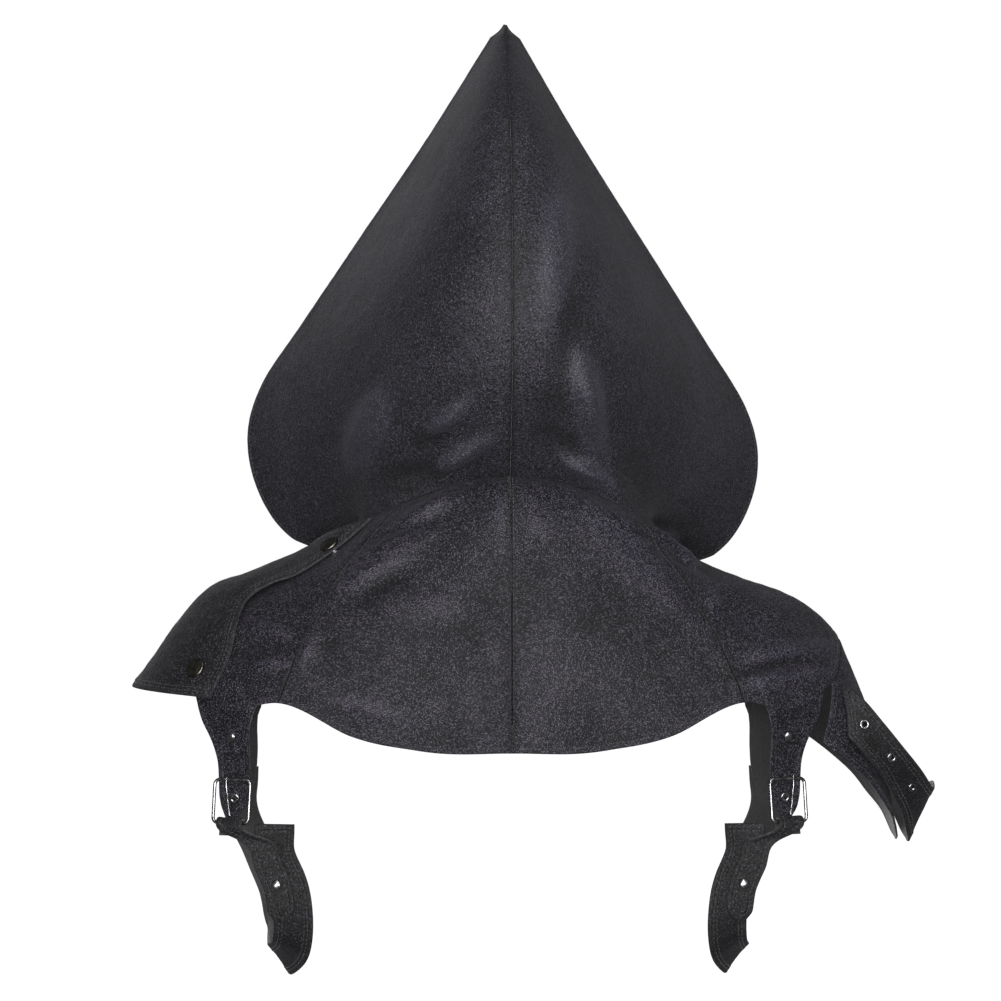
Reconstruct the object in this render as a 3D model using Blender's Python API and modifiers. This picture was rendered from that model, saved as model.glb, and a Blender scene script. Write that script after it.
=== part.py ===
"""A tall pointed costume hood on a shoulder cape: hood, yoke, shoulder panels, flap, straps and buckles.

Metres, +Z up. The wearer faces +Y and the wearer's right is +X. The origin is on the neck's axis at
the height of the shoulders, where the cape sits.
"""

import math
from collections import namedtuple

import bmesh
import bpy
import numpy as np
from mathutils import Matrix, Vector
from mathutils.bvhtree import BVHTree

# Clearances
GAP = 0.0004  # between the edges of two sewn panels
SLEEVE_GAP = 0.0008  # between the shoulder panel's hem and the sleeve cap
SEAT_GAP = 0.0003  # between a fitting and the leather that it sits on

# Walls
HOOD_WALL = 0.0016
YOKE_WALL = 0.0016
FLAP_WALL = 0.002
STRAP_WALL = 0.0024
SLEEVE_WALL = 0.0016

# The yoke and shoulder panels
NECK_HALF_WIDTH = 0.1035
NAPE_RISE = 0.053
SHOULDER_HALF_WIDTH = 0.218
YOKE_DROP = 0.122
SIDE_SEAM_ANGLE = 57.5  # from the centre back, where a yoke panel meets the shoulder panel
YOKE_STEPS = 9  # the lengths that a panel is made of, from the neck seam to the hem

# The hood
HOOD_RISE = 0.360
HOOD_HALF_WIDTH = 0.1745
HOOD_BACK_REACH = 0.119
HOOD_FRONT_REACH = 0.095
HOOD_SKEW = 0.04  # how much lower the right edge hangs, for each metre outward
NECK_SEAM_TURN = 0.003  # the seam's short upright before the hood turns outward
HOOD_FRONT_ANGLE = 160  # where the hood's lower edge ends, from the centre back
FOLD_HEIGHT = 0.0035  # the height of a plain fold of the hood or yoke

# The flap over the left shoulder
FLAP_OVERHANG = 0.029  # how far its tip stands out beyond the shoulder
FLAP_REACH = SHOULDER_HALF_WIDTH + FLAP_OVERHANG

# The tabs that hang from the shoulder panels and pass behind the buckles
TAB_FIRST_ANGLE = 61
TAB_LAST_ANGLE = 73
TAB_DROP = 0.066
TAB_ROOT_SHARE = 0.82  # where the tab's root lies, as a share of YOKE_DROP
TAB_RIVET_DOWN = 0.20  # where the rivet lies, as a share of TAB_DROP
BILLET_EYELET_DOWN = 0.80  # where the eyelet inside the buckle lies
TAB_MIDDLE = 0.45  # where the tab's fittings lie across it

# The straps under the arms
STRAP_WIDTH = 0.026
CHEST_HALF_WIDTH = 0.145
CHEST_HALF_DEPTH = 0.078
ARMHOLE_DROP = 0.255
CHAPE_WIDTH = 0.018
CHAPE_WALL = 0.0018
CHAPE_STAND = 0.007  # how far the chape stands off the strap at the buckle
CHAPE_TURN = 0.008  # the part of the chape that is folded behind the buckle's bar

# Buckles
BUCKLE_WIDTH = 0.025
BUCKLE_HEIGHT = 0.028
BUCKLE_CORNER = 0.0035
BUCKLE_WIRE_RADIUS = 0.0011
PRONG_WIRE_RADIUS = 0.0008
BUCKLE_LEAN = 0.24  # how far the buckle's foot comes back, for each metre down
BUCKLE_DOWN = 0.62  # how far down the tab the buckle's top bar crosses it, as a share of TAB_DROP

# The sleeve cap and its strap, on the right arm
ARM_CENTRE = 0.190
SLEEVE_RADIUS = 0.068
SLEEVE_DROP = 0.186
SLEEVE_BULGE = 0.005
SLEEVE_TURN = 80  # how far round the arm the cap reaches each way from its outer side
SLEEVE_HEM_ANGLE = 75.5  # where the cap's seam on the shoulder panel ends, from the centre back
SLEEVE_SEAM_TURN = 0.002  # the seam's stretch in line with the shoulder panel
STRAP_FLARE = 0.029

# Studs, snaps and eyelets
RIVET_RADIUS = 0.0034
RIVET_HEIGHT = 0.0018
SNAP_RADIUS = 0.0066
SNAP_HEIGHT = 0.0024
SNAP_SOCKET_RADIUS = 0.0045
SNAP_PLACES = {"neck": (-0.86, 0.12), "arm": (-0.80, 0.89)}  # across the flap, and towards the arm
EYELET_RADIUS = 0.0032
EYELET_BORE = 0.0016
EYELET_BARREL = 0.0022
EYELET_RIM = 0.0008

# The plain clasp at the centre front
CLASP_WIDTH = 0.050
CLASP_HEIGHT = 0.022
CLASP_WALL = 0.0024
CLASP_WAY = 0.55  # how far down the front yoke its middle lies

LEFT, RIGHT = -1, 1

YokeRow = namedtuple("YokeRow", "angle neck_out neck_up slope_out slope_up edge_out edge_up hem_out hem_up")
# A row for each direction from the centre back. neck_out is a share of NECK_HALF_WIDTH, neck_up of
# NAPE_RISE, the other outs of SHOULDER_HALF_WIDTH and the other ups of YOKE_DROP.
YOKE_ROWS = (
    YokeRow(0.0, 0.60, 1.00, 0.410, 0.165, 0.468, -0.37, 0.482, -1.000),
    YokeRow(30.0, 0.65, 0.94, 0.445, 0.140, 0.537, -0.37, 0.560, -0.983),
    YokeRow(45.0, 0.71, 0.82, 0.495, 0.072, 0.615, -0.37, 0.667, -0.909),
    YokeRow(57.5, 0.79, 0.68, 0.560, -0.010, 0.705, -0.37, 0.810, -0.740),
    YokeRow(66.0, 0.85, 0.57, 0.605, -0.052, 0.780, -0.38, 0.912, -0.780),
    YokeRow(75.0, 0.91, 0.46, 0.650, -0.077, 0.856, -0.33, 0.986, -0.655),
    YokeRow(90.0, 1.00, 0.32, 0.662, -0.078, 0.850, -0.20, 1.000, -0.420),
    YokeRow(105.0, 1.03, 0.17, 0.660, -0.114, 0.856, -0.34, 0.986, -0.670),
    YokeRow(114.0, 1.02, 0.06, 0.630, -0.155, 0.790, -0.41, 0.912, -0.800),
    YokeRow(122.5, 1.00, -0.04, 0.600, -0.196, 0.715, -0.44, 0.820, -0.760),
    YokeRow(150.0, 0.90, -0.34, 0.510, -0.360, 0.565, -0.64, 0.600, -0.930),
    YokeRow(180.0, 0.85, -0.51, 0.463, -0.433, 0.500, -0.68, 0.515, -0.960),
)

Fold = namedtuple("Fold", "across way spread_across spread_way slant height")
# A row for each fold or hollow of the yoke. across is in degrees from the centre back, minus to the
# left, and slant is how many degrees the fold moves outward from way 0 to 1. height is a share of
# FOLD_HEIGHT, minus for a hollow.
YOKE_FOLDS = (
    Fold(-36, 0.16, 9, 0.07, 20, 1.0),
    Fold(-48, 0.34, 10, 0.08, 25, 0.9),
    Fold(-40, 0.25, 12, 0.05, 25, -0.5),
    Fold(-36, 0.86, 9, 0.10, -30, 0.7),
    Fold(44, 0.20, 12, 0.07, -30, 0.8),
    Fold(62, 0.16, 10, 0.06, 60, 1.1),
    Fold(66, 0.30, 9, 0.06, 60, -0.7),
    Fold(67, 0.74, 6, 0.06, 40, 0.9),
    Fold(68, 0.60, 6, 0.06, 40, -0.5),
    Fold(24, 0.62, 10, 0.14, 20, 0.6),
    Fold(-18, 0.55, 8, 0.16, -10, 0.5),
)

HoodRow = namedtuple("HoodRow", "way back_reach back_up edge_out edge_reach edge_up")
# A row for each level of the hood, from the neck seam to the peak. The ups are shares of HOOD_RISE,
# back_reach of HOOD_BACK_REACH, edge_out of HOOD_HALF_WIDTH and edge_reach of HOOD_FRONT_REACH.
HOOD_ROWS = (
    HoodRow(0.00, 0.58, 0.170, 0.68, 0.97, -0.030),
    HoodRow(0.12, 0.74, 0.225, 0.89, 1.00, 0.050),
    HoodRow(0.22, 0.87, 0.285, 0.98, 1.00, 0.135),
    HoodRow(0.32, 0.96, 0.355, 1.00, 1.00, 0.222),
    HoodRow(0.42, 1.00, 0.430, 0.95, 0.98, 0.305),
    HoodRow(0.55, 0.95, 0.560, 0.79, 0.91, 0.425),
    HoodRow(0.70, 0.75, 0.700, 0.55, 0.80, 0.600),
    HoodRow(0.85, 0.35, 0.855, 0.275, 0.66, 0.800),
    HoodRow(1.00, -0.30, 0.990, 0.02, 0.50, 1.000),
)
# The same for the hood: across is a share of a panel's width, minus on the left panel.
HOOD_FOLDS = (
    Fold(-0.42, 0.20, 0.16, 0.08, 0.3, 1.1),
    Fold(-0.26, 0.145, 0.10, 0.035, 0.8, -0.9),
    Fold(-0.30, 0.085, 0.12, 0.03, 0.8, 0.6),
    Fold(0.30, 0.24, 0.14, 0.08, -0.2, 1.0),
    Fold(0.52, 0.16, 0.10, 0.05, 0.6, -0.8),
    Fold(0.34, 0.10, 0.14, 0.03, -0.6, 0.7),
    Fold(0.42, 0.52, 0.16, 0.10, 0.2, 0.5),
    Fold(-0.36, 0.48, 0.18, 0.12, -0.2, 0.4),
)
HOOD_NEAR_OUT = 0.42  # how full the back of a level is, as a share of its width
HOOD_FAR_OUT = 0.60
HOOD_FAR_REACH = 0.52
HOOD_NECK_BLEND = 0.30  # the share of the height over which the hood leaves the neckline's shape
HOOD_EDGE_BLEND = 0.08  # the same at the front edge

FlapRow = namedtuple("FlapRow", "back_angle back_out back_up ridge_out ridge_up front_out front_up")
# A row for each line across the flap, from the neck to the arm. The outs are shares of FLAP_REACH
# and the ups of YOKE_DROP.
FLAP_ROWS = (
    FlapRow(65.0, 0.400, 0.2236, 0.500, 0.1082, 0.500, 0.0072),
    FlapRow(67.5, 0.478, 0.0830, 0.540, 0.0541, 0.535, -0.0469),
    FlapRow(70.0, 0.585, -0.0649, 0.607, -0.0036, 0.600, -0.1226),
    FlapRow(72.6, 0.650, -0.1190, 0.696, -0.0757, 0.655, -0.1623),
    FlapRow(73.7, 0.694, -0.1695, 0.769, -0.1262, 0.700, -0.1948),
    FlapRow(73.4, 0.727, -0.2344, 0.822, -0.2020, 0.730, -0.2525),
    FlapRow(70.0, 0.762, -0.3570, 0.870, -0.3102, 0.765, -0.3607),
    FlapRow(68.6, 0.780, -0.4689, 0.915, -0.4328, 0.785, -0.4725),
    FlapRow(68.0, 0.805, -0.5770, 0.955, -0.5554, 0.812, -0.5770),
    FlapRow(68.0, 0.842, -0.7213, 1.000, -0.6889, 0.850, -0.7213),
)

TabRow = namedtuple("TabRow", "down inner_out outer_out inner_behind outer_behind")
# A row for each line across a tab below its root. down is a share of TAB_DROP and the rest are
# shares of SHOULDER_HALF_WIDTH.
TAB_ROWS = (
    TabRow(0.02, 0.766, 0.915, 0.392, 0.302),
    TabRow(0.20, 0.770, 0.887, 0.366, 0.299),
    TabRow(0.42, 0.768, 0.866, 0.343, 0.292),
    TabRow(0.62, 0.770, 0.862, 0.322, 0.284),
    TabRow(0.80, 0.778, 0.860, 0.305, 0.275),
    TabRow(0.93, 0.792, 0.850, 0.292, 0.268),
    TabRow(1.00, 0.808, 0.836, 0.285, 0.270),
)

StrapRow = namedtuple("StrapRow", "out ahead down turn lean")
# A row for each place along a strap, from beside the buckle to below the front tab. out, ahead and
# down are shares of CHEST_HALF_WIDTH, CHEST_HALF_DEPTH and ARMHOLE_DROP. turn is the direction of the
# strap's width on the level, in degrees from outward towards forward, and lean lifts it off the level.
STRAP_ROWS = (
    StrapRow(1.050, -0.75, 0.668, 8, 36),
    StrapRow(1.046, -0.86, 0.742, 10, 12),
    StrapRow(0.983, -0.94, 0.825, 10, 2),
    StrapRow(0.963, -0.93, 0.906, 10, 4),
    StrapRow(0.976, -0.80, 0.978, 8, 22),
    StrapRow(1.025, -0.38, 1.020, 4, 50),
    StrapRow(1.040, 0.08, 1.020, 0, 56),
    StrapRow(1.040, 0.48, 0.985, -8, 50),
    StrapRow(1.065, 0.70, 0.890, -20, 32),
    StrapRow(1.140, 0.84, 0.780, -25, 12),
)
STRAP_STEPS = 30  # the lengths that a strap is made of, up to the front tab
STRAP_LAP_ROWS = (5, 4, 3)  # the rows of the front tab that the strap's end is sewn over

ChapeRow = namedtuple("ChapeRow", "step aside stand width")
# A row for each place down a chape's front leg, on the strap that it is riveted to: the strap's step,
# aside as a share of STRAP_WIDTH, stand of CHAPE_STAND and width of CHAPE_WIDTH.
CHAPE_ROWS = (
    ChapeRow(3, 0.22, 1.00, 1.0),
    ChapeRow(4, 0.22, 0.60, 1.0),
    ChapeRow(5, 0.22, 0.25, 1.0),
    ChapeRow(6, 0.24, 0.05, 1.0),
    ChapeRow(7, 0.26, 0.00, 1.0),
    ChapeRow(8, 0.27, 0.00, 1.0),
    ChapeRow(9, 0.29, 0.00, 0.9),
    ChapeRow(10, 0.32, 0.00, 0.4),
)
CHAPE_RIVET_ROW = 3

SleeveRow = namedtuple("SleeveRow", "turn edge_up")
# The sleeve cap's lower edge, by the angle round the arm from its outer side, in shares of SLEEVE_DROP.
SLEEVE_ROWS = (
    SleeveRow(0, -1.000),
    SleeveRow(12, -0.975),
    SleeveRow(25, -0.905),
    SleeveRow(38, -0.845),
    SleeveRow(48, -0.785),
    SleeveRow(60, -0.725),
    SleeveRow(75, -0.655),
    SleeveRow(90, -0.590),
)

CuffRow = namedtuple("CuffRow", "turn top_way top_stand low_way low_stand")
# The strap over the sleeve cap: its top and low edge down the cap, and how far each stands off the
# cap, in shares of STRAP_FLARE.
CUFF_ROWS = (
    CuffRow(0, 0.705, 1.00, 1.010, 0.16),
    CuffRow(20, 0.755, 0.88, 0.990, 0.15),
    CuffRow(34, 0.660, 0.76, 0.940, 0.15),
    CuffRow(47, 0.475, 0.55, 0.890, 0.18),
    CuffRow(59, 0.210, 0.30, 0.820, 0.14),
    CuffRow(67, 0.070, 0.00, 0.720, 0.00),
)
CUFF_EYELET_TURNS = (58, 43, 28)

# Roughness and metallic value of each finish, with its colour
LEATHER = ("black_leather", (0.022, 0.021, 0.024), 0.55, 0.0)
LINING_EDGE = ("strap_leather", (0.016, 0.016, 0.018), 0.6, 0.0)
METAL = ("gunmetal", (0.16, 0.16, 0.17), 0.28, 1.0)
CAP_METAL = ("dark_bronze", (0.075, 0.072, 0.055), 0.3, 1.0)


def clear_scene():
    for piece in list(bpy.data.objects):
        bpy.data.objects.remove(piece)


def smooth(rows, key, column, at):
    """One column's value between the rows of a table, on a smooth curve through them."""
    keys = np.array([getattr(row, key) for row in rows], float)
    values = np.array([getattr(row, column) for row in rows], float)
    slopes = np.gradient(values, keys)
    low = int(np.clip(np.searchsorted(keys, at) - 1, 0, len(keys) - 2))
    step = keys[low + 1] - keys[low]
    t = (at - keys[low]) / step
    return (
        (2 * t**3 - 3 * t**2 + 1) * values[low]
        + (t**3 - 2 * t**2 + t) * step * slopes[low]
        + (3 * t**2 - 2 * t**3) * values[low + 1]
        + (t**3 - t**2) * step * slopes[low + 1]
    )


def row_at(rows, column, at):
    """One column's value at a share of the way down a table whose rows are evenly spaced."""
    Spaced = namedtuple("Spaced", "key value")
    last = len(rows) - 1
    evenly = [Spaced(i / last, getattr(row, column)) for i, row in enumerate(rows)]
    return smooth(evenly, "key", "value", at)


def around(side, angle, out, up):
    """The point at a distance and height, in a direction counted from the centre back."""
    turn = math.radians(angle)
    return Vector((side * out * math.sin(turn), -out * math.cos(turn), up))


def fold_height(folds, across, way):
    """How far a table's folds lift the surface at a place."""
    height = 0
    for fold in folds:
        outward = math.copysign(fold.slant, fold.across)
        aside = (across - fold.across - outward * (way - fold.way)) / fold.spread_across
        along = (way - fold.way) / fold.spread_way
        height += fold.height * math.exp(-aside * aside - along * along)
    return height * FOLD_HEIGHT


def yoke_point(side, angle, way):
    """A point of the yoke's middle surface: way is 0 at the neck seam and 1 at the hem."""
    level = lambda column: smooth(YOKE_ROWS, "angle", column, angle)
    outs = (
        level("neck_out") * NECK_HALF_WIDTH,
        level("slope_out") * SHOULDER_HALF_WIDTH,
        level("edge_out") * SHOULDER_HALF_WIDTH,
        level("hem_out") * SHOULDER_HALF_WIDTH,
    )
    ups = (
        level("neck_up") * NAPE_RISE,
        level("slope_up") * YOKE_DROP,
        level("edge_up") * YOKE_DROP,
        level("hem_up") * YOKE_DROP,
    )
    a, b, c = 3 * way, 3 * way - 1, 3 * way - 2
    d = 3 * way - 3
    weights = (-b * c * d / 6, a * c * d / 2, -a * b * d / 2, a * b * c / 6)
    out = sum(w * v for w, v in zip(weights, outs))
    up = sum(w * v for w, v in zip(weights, ups))
    lift = fold_height(YOKE_FOLDS, side * angle, way)
    return around(side, angle, out + lift, up + lift * (1 - way))


def yoke_run(side, angle, first, last):
    """The direction down the yoke's surface, away from the neck, between two ways."""
    return (yoke_point(side, angle, last) - yoke_point(side, angle, first)).normalized()


def gap_angle(radius):
    """Half of a seam's gap as an angle at a radius, in degrees."""
    return math.degrees(GAP / 2 / radius)


def finish(name, colour, roughness, metallic):
    """The material of that name, made once."""
    material = bpy.data.materials.get(name) or bpy.data.materials.new(name)
    material.use_nodes = True
    shader = material.node_tree.nodes["Principled BSDF"]
    shader.inputs["Base Color"].default_value = (*colour, 1)
    shader.inputs["Roughness"].default_value = roughness
    shader.inputs["Metallic"].default_value = metallic
    return material


def own_finish(piece, look):
    """Gives a piece a material of its own in one of the finishes."""
    name, colour, roughness, metallic = look
    piece.data.materials.clear()
    piece.data.materials.append(finish(f"{name}_{piece.name}", colour, roughness, metallic))


def new_piece(name, mesh, look, collection):
    piece = bpy.data.objects.new(name, mesh)
    collection.objects.link(piece)
    own_finish(piece, look)
    return piece


def sheet(name, grid, wall, look, collection):
    """A wall on a grid of middle points, rows by columns. A point that is None stays open."""
    rows, columns = len(grid), len(grid[0])
    body = bmesh.new()
    made = [[body.verts.new(point) if point is not None else None for point in row] for row in grid]
    for i in range(rows - 1):
        for j in range(columns - 1):
            corners = [made[i][j], made[i + 1][j], made[i + 1][j + 1], made[i][j + 1]]
            if None not in corners:
                body.faces.new(corners)
    bmesh.ops.delete(body, geom=[v for v in body.verts if not v.link_faces], context="VERTS")
    mesh = bpy.data.meshes.new(name)
    body.to_mesh(mesh)
    body.free()
    mesh.shade_smooth()
    piece = new_piece(name, mesh, look, collection)
    solid = piece.modifiers.new("wall", "SOLIDIFY")
    solid.thickness = wall
    solid.offset = 0
    solid.use_even_offset = True
    return piece


def turned(name, profile, steps, look, collection):
    """A turned piece about its own Z axis. profile runs down the outer side, top to bottom."""
    mesh = bpy.data.meshes.new(name)
    mesh.from_pydata([(r, 0, z) for r, z in profile], [(i, i + 1) for i in range(len(profile) - 1)], [])
    piece = new_piece(name, mesh, look, collection)
    turn = piece.modifiers.new("turn", "SCREW")
    turn.axis = "Z"
    turn.steps = steps
    turn.render_steps = steps
    turn.use_merge_vertices = True
    turn.merge_threshold = 0.00001
    turn.use_smooth_shade = True
    return piece


def wire(name, points, radius, closed, look, collection):
    """A wire along a list of points, with filled ends."""
    curve = bpy.data.curves.new(name, "CURVE")
    curve.dimensions = "3D"
    curve.bevel_depth = radius
    curve.bevel_resolution = 1
    curve.use_fill_caps = not closed
    line = curve.splines.new("POLY")
    line.points.add(len(points) - 1)
    for place, point in zip(line.points, points):
        place.co = (*point, 1)
    line.use_cyclic_u = closed
    piece = bpy.data.objects.new(name, curve)
    collection.objects.link(piece)
    own_finish(piece, look)
    return piece


def surface_of(piece):
    """The evaluated surface of a piece, for seating others on it."""
    bpy.context.view_layer.update()
    return BVHTree.FromObject(piece, bpy.context.evaluated_depsgraph_get())


def seat(piece, place, outward, radius):
    """Where a round fitting sits on a piece: the highest point under its rim, and the mean way it faces."""
    reach = 0.05
    surface = surface_of(piece)
    aside = outward.orthogonal().normalized() * radius
    starts = [Vector()] + [Matrix.Rotation(math.tau * i / 8, 3, outward) @ aside for i in range(8)]
    hits = [surface.ray_cast(place + start + outward * reach, -outward, 2 * reach) for start in starts]
    normal = sum((hit[1] for hit in hits if hit[0] is not None), Vector()).normalized()
    middle = hits[0][0]
    rise = max((hit[0] - middle).dot(normal) for hit in hits if hit[0] is not None)
    return middle + normal * rise, normal


def frame_on(place, outward, along):
    """A matrix at a place with Z outward and X as near along as it can be."""
    z = outward.normalized()
    y = z.cross(along).normalized()
    return Matrix.Translation(place) @ Matrix((y.cross(z), y, z)).transposed().to_4x4()


def angles_between(first, last, count):
    return [first + (last - first) * i / count for i in range(count + 1)]


def make_hood(side, name, collection):
    """One of the hood's two panels, from the centre seam to the front edge."""
    across, along = 13, 15
    grid = []
    for j in range(along + 1):
        way = j / along
        grid.append([hood_point(side, i / across, way) for i in range(across + 1)])
    starts = []
    for i in range(across + 1):
        angle = hood_angle(i / across)
        run = yoke_run(side, angle, 0, 1 / YOKE_STEPS)
        starts.append(yoke_point(side, angle, 0) - run * GAP)
        starts[-1].x = side * max(side * starts[-1].x, GAP / 2)
    return sheet(name, [starts, *grid], HOOD_WALL, LEATHER, collection)


def hood_angle(across):
    """The direction round the neckline of a share of the way across a panel."""
    return HOOD_FRONT_ANGLE * across


def hood_point(side, across, way):
    """A point of the hood's middle surface: across runs from the centre seam to the front edge."""
    level = lambda column: smooth(HOOD_ROWS, "way", column, way)
    back = Vector((GAP / 2, -level("back_reach") * HOOD_BACK_REACH, level("back_up") * HOOD_RISE))
    out = level("edge_out") * HOOD_HALF_WIDTH
    edge = Vector((out, level("edge_reach") * HOOD_FRONT_REACH, level("edge_up") * HOOD_RISE))
    near = Vector((out * HOOD_NEAR_OUT, back.y, back.z))
    far_y = back.y + (edge.y - back.y) * HOOD_FAR_REACH
    far = Vector((out * HOOD_FAR_OUT, far_y, (back.z + edge.z) / 2))
    t, s = across, 1 - across
    upper = s**3 * back + 3 * s * s * t * near + 3 * s * t * t * far + t**3 * edge
    upper.z -= HOOD_SKEW * side * upper.x
    upper.x *= side
    angle = hood_angle(across)
    run = yoke_run(side, angle, 0, 1 / YOKE_STEPS)
    lower = yoke_point(side, angle, 0) - run * (GAP + NECK_SEAM_TURN)
    share = min(way / (HOOD_NECK_BLEND + (HOOD_EDGE_BLEND - HOOD_NECK_BLEND) * across**2), 1)
    blend = share * share * (3 - 2 * share)
    point = lower.lerp(upper, blend)
    point.y -= fold_height(HOOD_FOLDS, side * across, way) * blend
    point.x = side * max(side * point.x, GAP / 2)
    return point


def yoke_panel(side, name, first, last, count, collection):
    """A yoke panel between two directions, from the neck seam to the hem."""
    grid = []
    for j in range(YOKE_STEPS + 1):
        way = j / YOKE_STEPS
        line = []
        for angle in angles_between(first, last, count):
            out = yoke_point(side, angle, way).xy.length
            inset = gap_angle(out)
            line.append(yoke_point(side, min(max(angle, first + inset), last - inset), way))
        grid.append(line)
    return sheet(name, grid, YOKE_WALL, LEATHER, collection)


def tab_point(side, front, row, across):
    """A point of a tab below its root: across is 0 at the inner edge and 1 at the outer one."""
    out = row.inner_out + (row.outer_out - row.inner_out) * across
    behind = row.inner_behind + (row.outer_behind - row.inner_behind) * across
    x = side * out * SHOULDER_HALF_WIDTH
    y = (1 if front else -1) * behind * SHOULDER_HALF_WIDTH
    return Vector((x, y, -TAB_ROOT_SHARE * YOKE_DROP - row.down * TAB_DROP))


def tab_row(down):
    """A row of a tab at any share of its drop."""
    return TabRow(down, *(smooth(TAB_ROWS, "down", column, down) for column in TabRow._fields[1:]))


def shoulder_angles():
    """The directions of a shoulder panel's columns, and the first and last column of each tab."""
    seam, front = SIDE_SEAM_ANGLE, 180 - SIDE_SEAM_ANGLE
    tab = angles_between(TAB_FIRST_ANGLE, TAB_LAST_ANGLE, 4)
    top = angles_between(TAB_LAST_ANGLE, 180 - TAB_LAST_ANGLE, 9)[1:-1]
    mirrored = [180 - angle for angle in reversed(tab)]
    angles = [seam, *tab, *top, *mirrored, front]
    return angles, (1, 5), (len(angles) - 6, len(angles) - 2)


def make_shoulder(side, name, collection):
    """A shoulder panel, over the shoulder from one side seam to the other, with a tab at each end."""
    angles, back_tab, front_tab = shoulder_angles()
    grid = []
    for j in range(YOKE_STEPS + 1):
        way = j / YOKE_STEPS
        line = []
        for angle in angles:
            inset = gap_angle(yoke_point(side, angle, way).xy.length)
            held = min(max(angle, angles[0] + inset), angles[-1] - inset)
            line.append(yoke_point(side, held, way))
        grid.append(line)
    for row in TAB_ROWS:
        line = [None] * len(angles)
        for i in range(5):
            line[back_tab[0] + i] = tab_point(side, False, row, i / 4)
            line[front_tab[1] - i] = tab_point(side, True, row, i / 4)
        grid.append(line)
    return sheet(name, grid, YOKE_WALL, LEATHER, collection)


def flap_point(across, way):
    """A point of the flap: across is -1 at its back edge and 1 at its front edge, way 1 at the arm."""
    level = lambda column: row_at(FLAP_ROWS, column, way)
    back_angle = level("back_angle")
    angle = back_angle + (180 - 2 * back_angle) * (across + 1) / 2
    crown = 1 - across * across
    back, front = (1 - across) / 2, (1 + across) / 2
    edge_out = back * level("back_out") + front * level("front_out")
    edge_up = back * level("back_up") + front * level("front_up")
    middle_out = (level("back_out") + level("front_out")) / 2
    middle_up = (level("back_up") + level("front_up")) / 2
    out = edge_out + (level("ridge_out") - middle_out) * crown
    up = edge_up + (level("ridge_up") - middle_up) * crown
    return around(LEFT, angle, out * FLAP_REACH, up * YOKE_DROP)


def make_flap(collection):
    across, along = 12, 14
    grid = [
        [flap_point(2 * i / across - 1, j / along) for i in range(across + 1)] for j in range(along + 1)
    ]
    return sheet("shoulder_flap", grid, FLAP_WALL, LEATHER, collection)


def sleeve_point(turn, way):
    """A point of the right sleeve cap: turn is degrees round the arm from its outer side."""
    hem = sleeve_seam(turn, SLEEVE_GAP + SLEEVE_SEAM_TURN)
    bow = math.radians(turn)
    low = Vector((
        ARM_CENTRE + SLEEVE_RADIUS * math.cos(bow),
        -SLEEVE_RADIUS * math.sin(bow),
        smooth(SLEEVE_ROWS, "turn", "edge_up", abs(turn)) * SLEEVE_DROP,
    ))
    point = hem.lerp(low, way)
    swell = 4 * way * (1 - way) * SLEEVE_BULGE
    return point + Vector((math.cos(bow), -math.sin(bow), 0)) * swell


def sleeve_seam(turn, beyond):
    """A point that far beyond the right shoulder panel's hem, in line with the panel."""
    angle = 90 - turn * (90 - SLEEVE_HEM_ANGLE) / SLEEVE_TURN
    return yoke_point(RIGHT, angle, 1) + yoke_run(RIGHT, angle, 1 - 1 / YOKE_STEPS, 1) * beyond


def make_sleeve(collection):
    across, down = 16, 7
    turns = [SLEEVE_TURN * (1 - 2 * i / across) for i in range(across + 1)]
    grid = [[sleeve_seam(turn, SLEEVE_GAP) for turn in turns]]
    grid += [[sleeve_point(turn, j / down) for turn in turns] for j in range(down + 1)]
    return sheet("sleeve_cap", grid, SLEEVE_WALL, LEATHER, collection)


def cuff_point(turn, drop):
    """A point of the strap over the sleeve cap: drop is 0 at its top edge and 1 at its low edge."""
    level = lambda column: smooth(CUFF_ROWS, "turn", column, abs(turn))
    way = level("top_way") + (level("low_way") - level("top_way")) * drop
    stand = level("top_stand") + (level("low_stand") - level("top_stand")) * drop
    clear = SLEEVE_WALL / 2 + STRAP_WALL / 2 + 2 * SEAT_GAP
    bow = math.radians(turn)
    outward = Vector((math.cos(bow), -math.sin(bow), 0))
    return sleeve_point(turn, way) + outward * (stand * STRAP_FLARE + clear)


def make_cuff(collection, cutters):
    along, down = 20, 4
    last = CUFF_ROWS[-1].turn
    grid = [
        [cuff_point(last - 2 * last * i / along, j / down) for i in range(along + 1)]
        for j in range(down + 1)
    ]
    cuff = sheet("arm_strap", grid, STRAP_WALL, LINING_EDGE, collection)
    for number, turn in enumerate(CUFF_EYELET_TURNS, 1):
        bow = math.radians(turn)
        outward = Vector((math.cos(bow), -math.sin(bow), 0))
        place = cuff_point(turn, 0.5)
        fit_eyelet(f"arm_eyelet_{number}", cuff, STRAP_WALL, place, outward, collection, cutters)
    return cuff


def fit_eyelet(name, piece, wall, place, outward, collection, cutters):
    """Seats an eyelet on a piece and drills the hole that its barrel passes through."""
    hit, normal = seat(piece, place, outward, EYELET_RADIUS)
    matrix = frame_on(hit, normal, Vector((0, 0, 1)))
    make_eyelet(name, wall, collection).matrix_world = matrix
    drill(piece, f"{name}_hole", matrix, EYELET_BARREL + SEAT_GAP, cutters)


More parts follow.
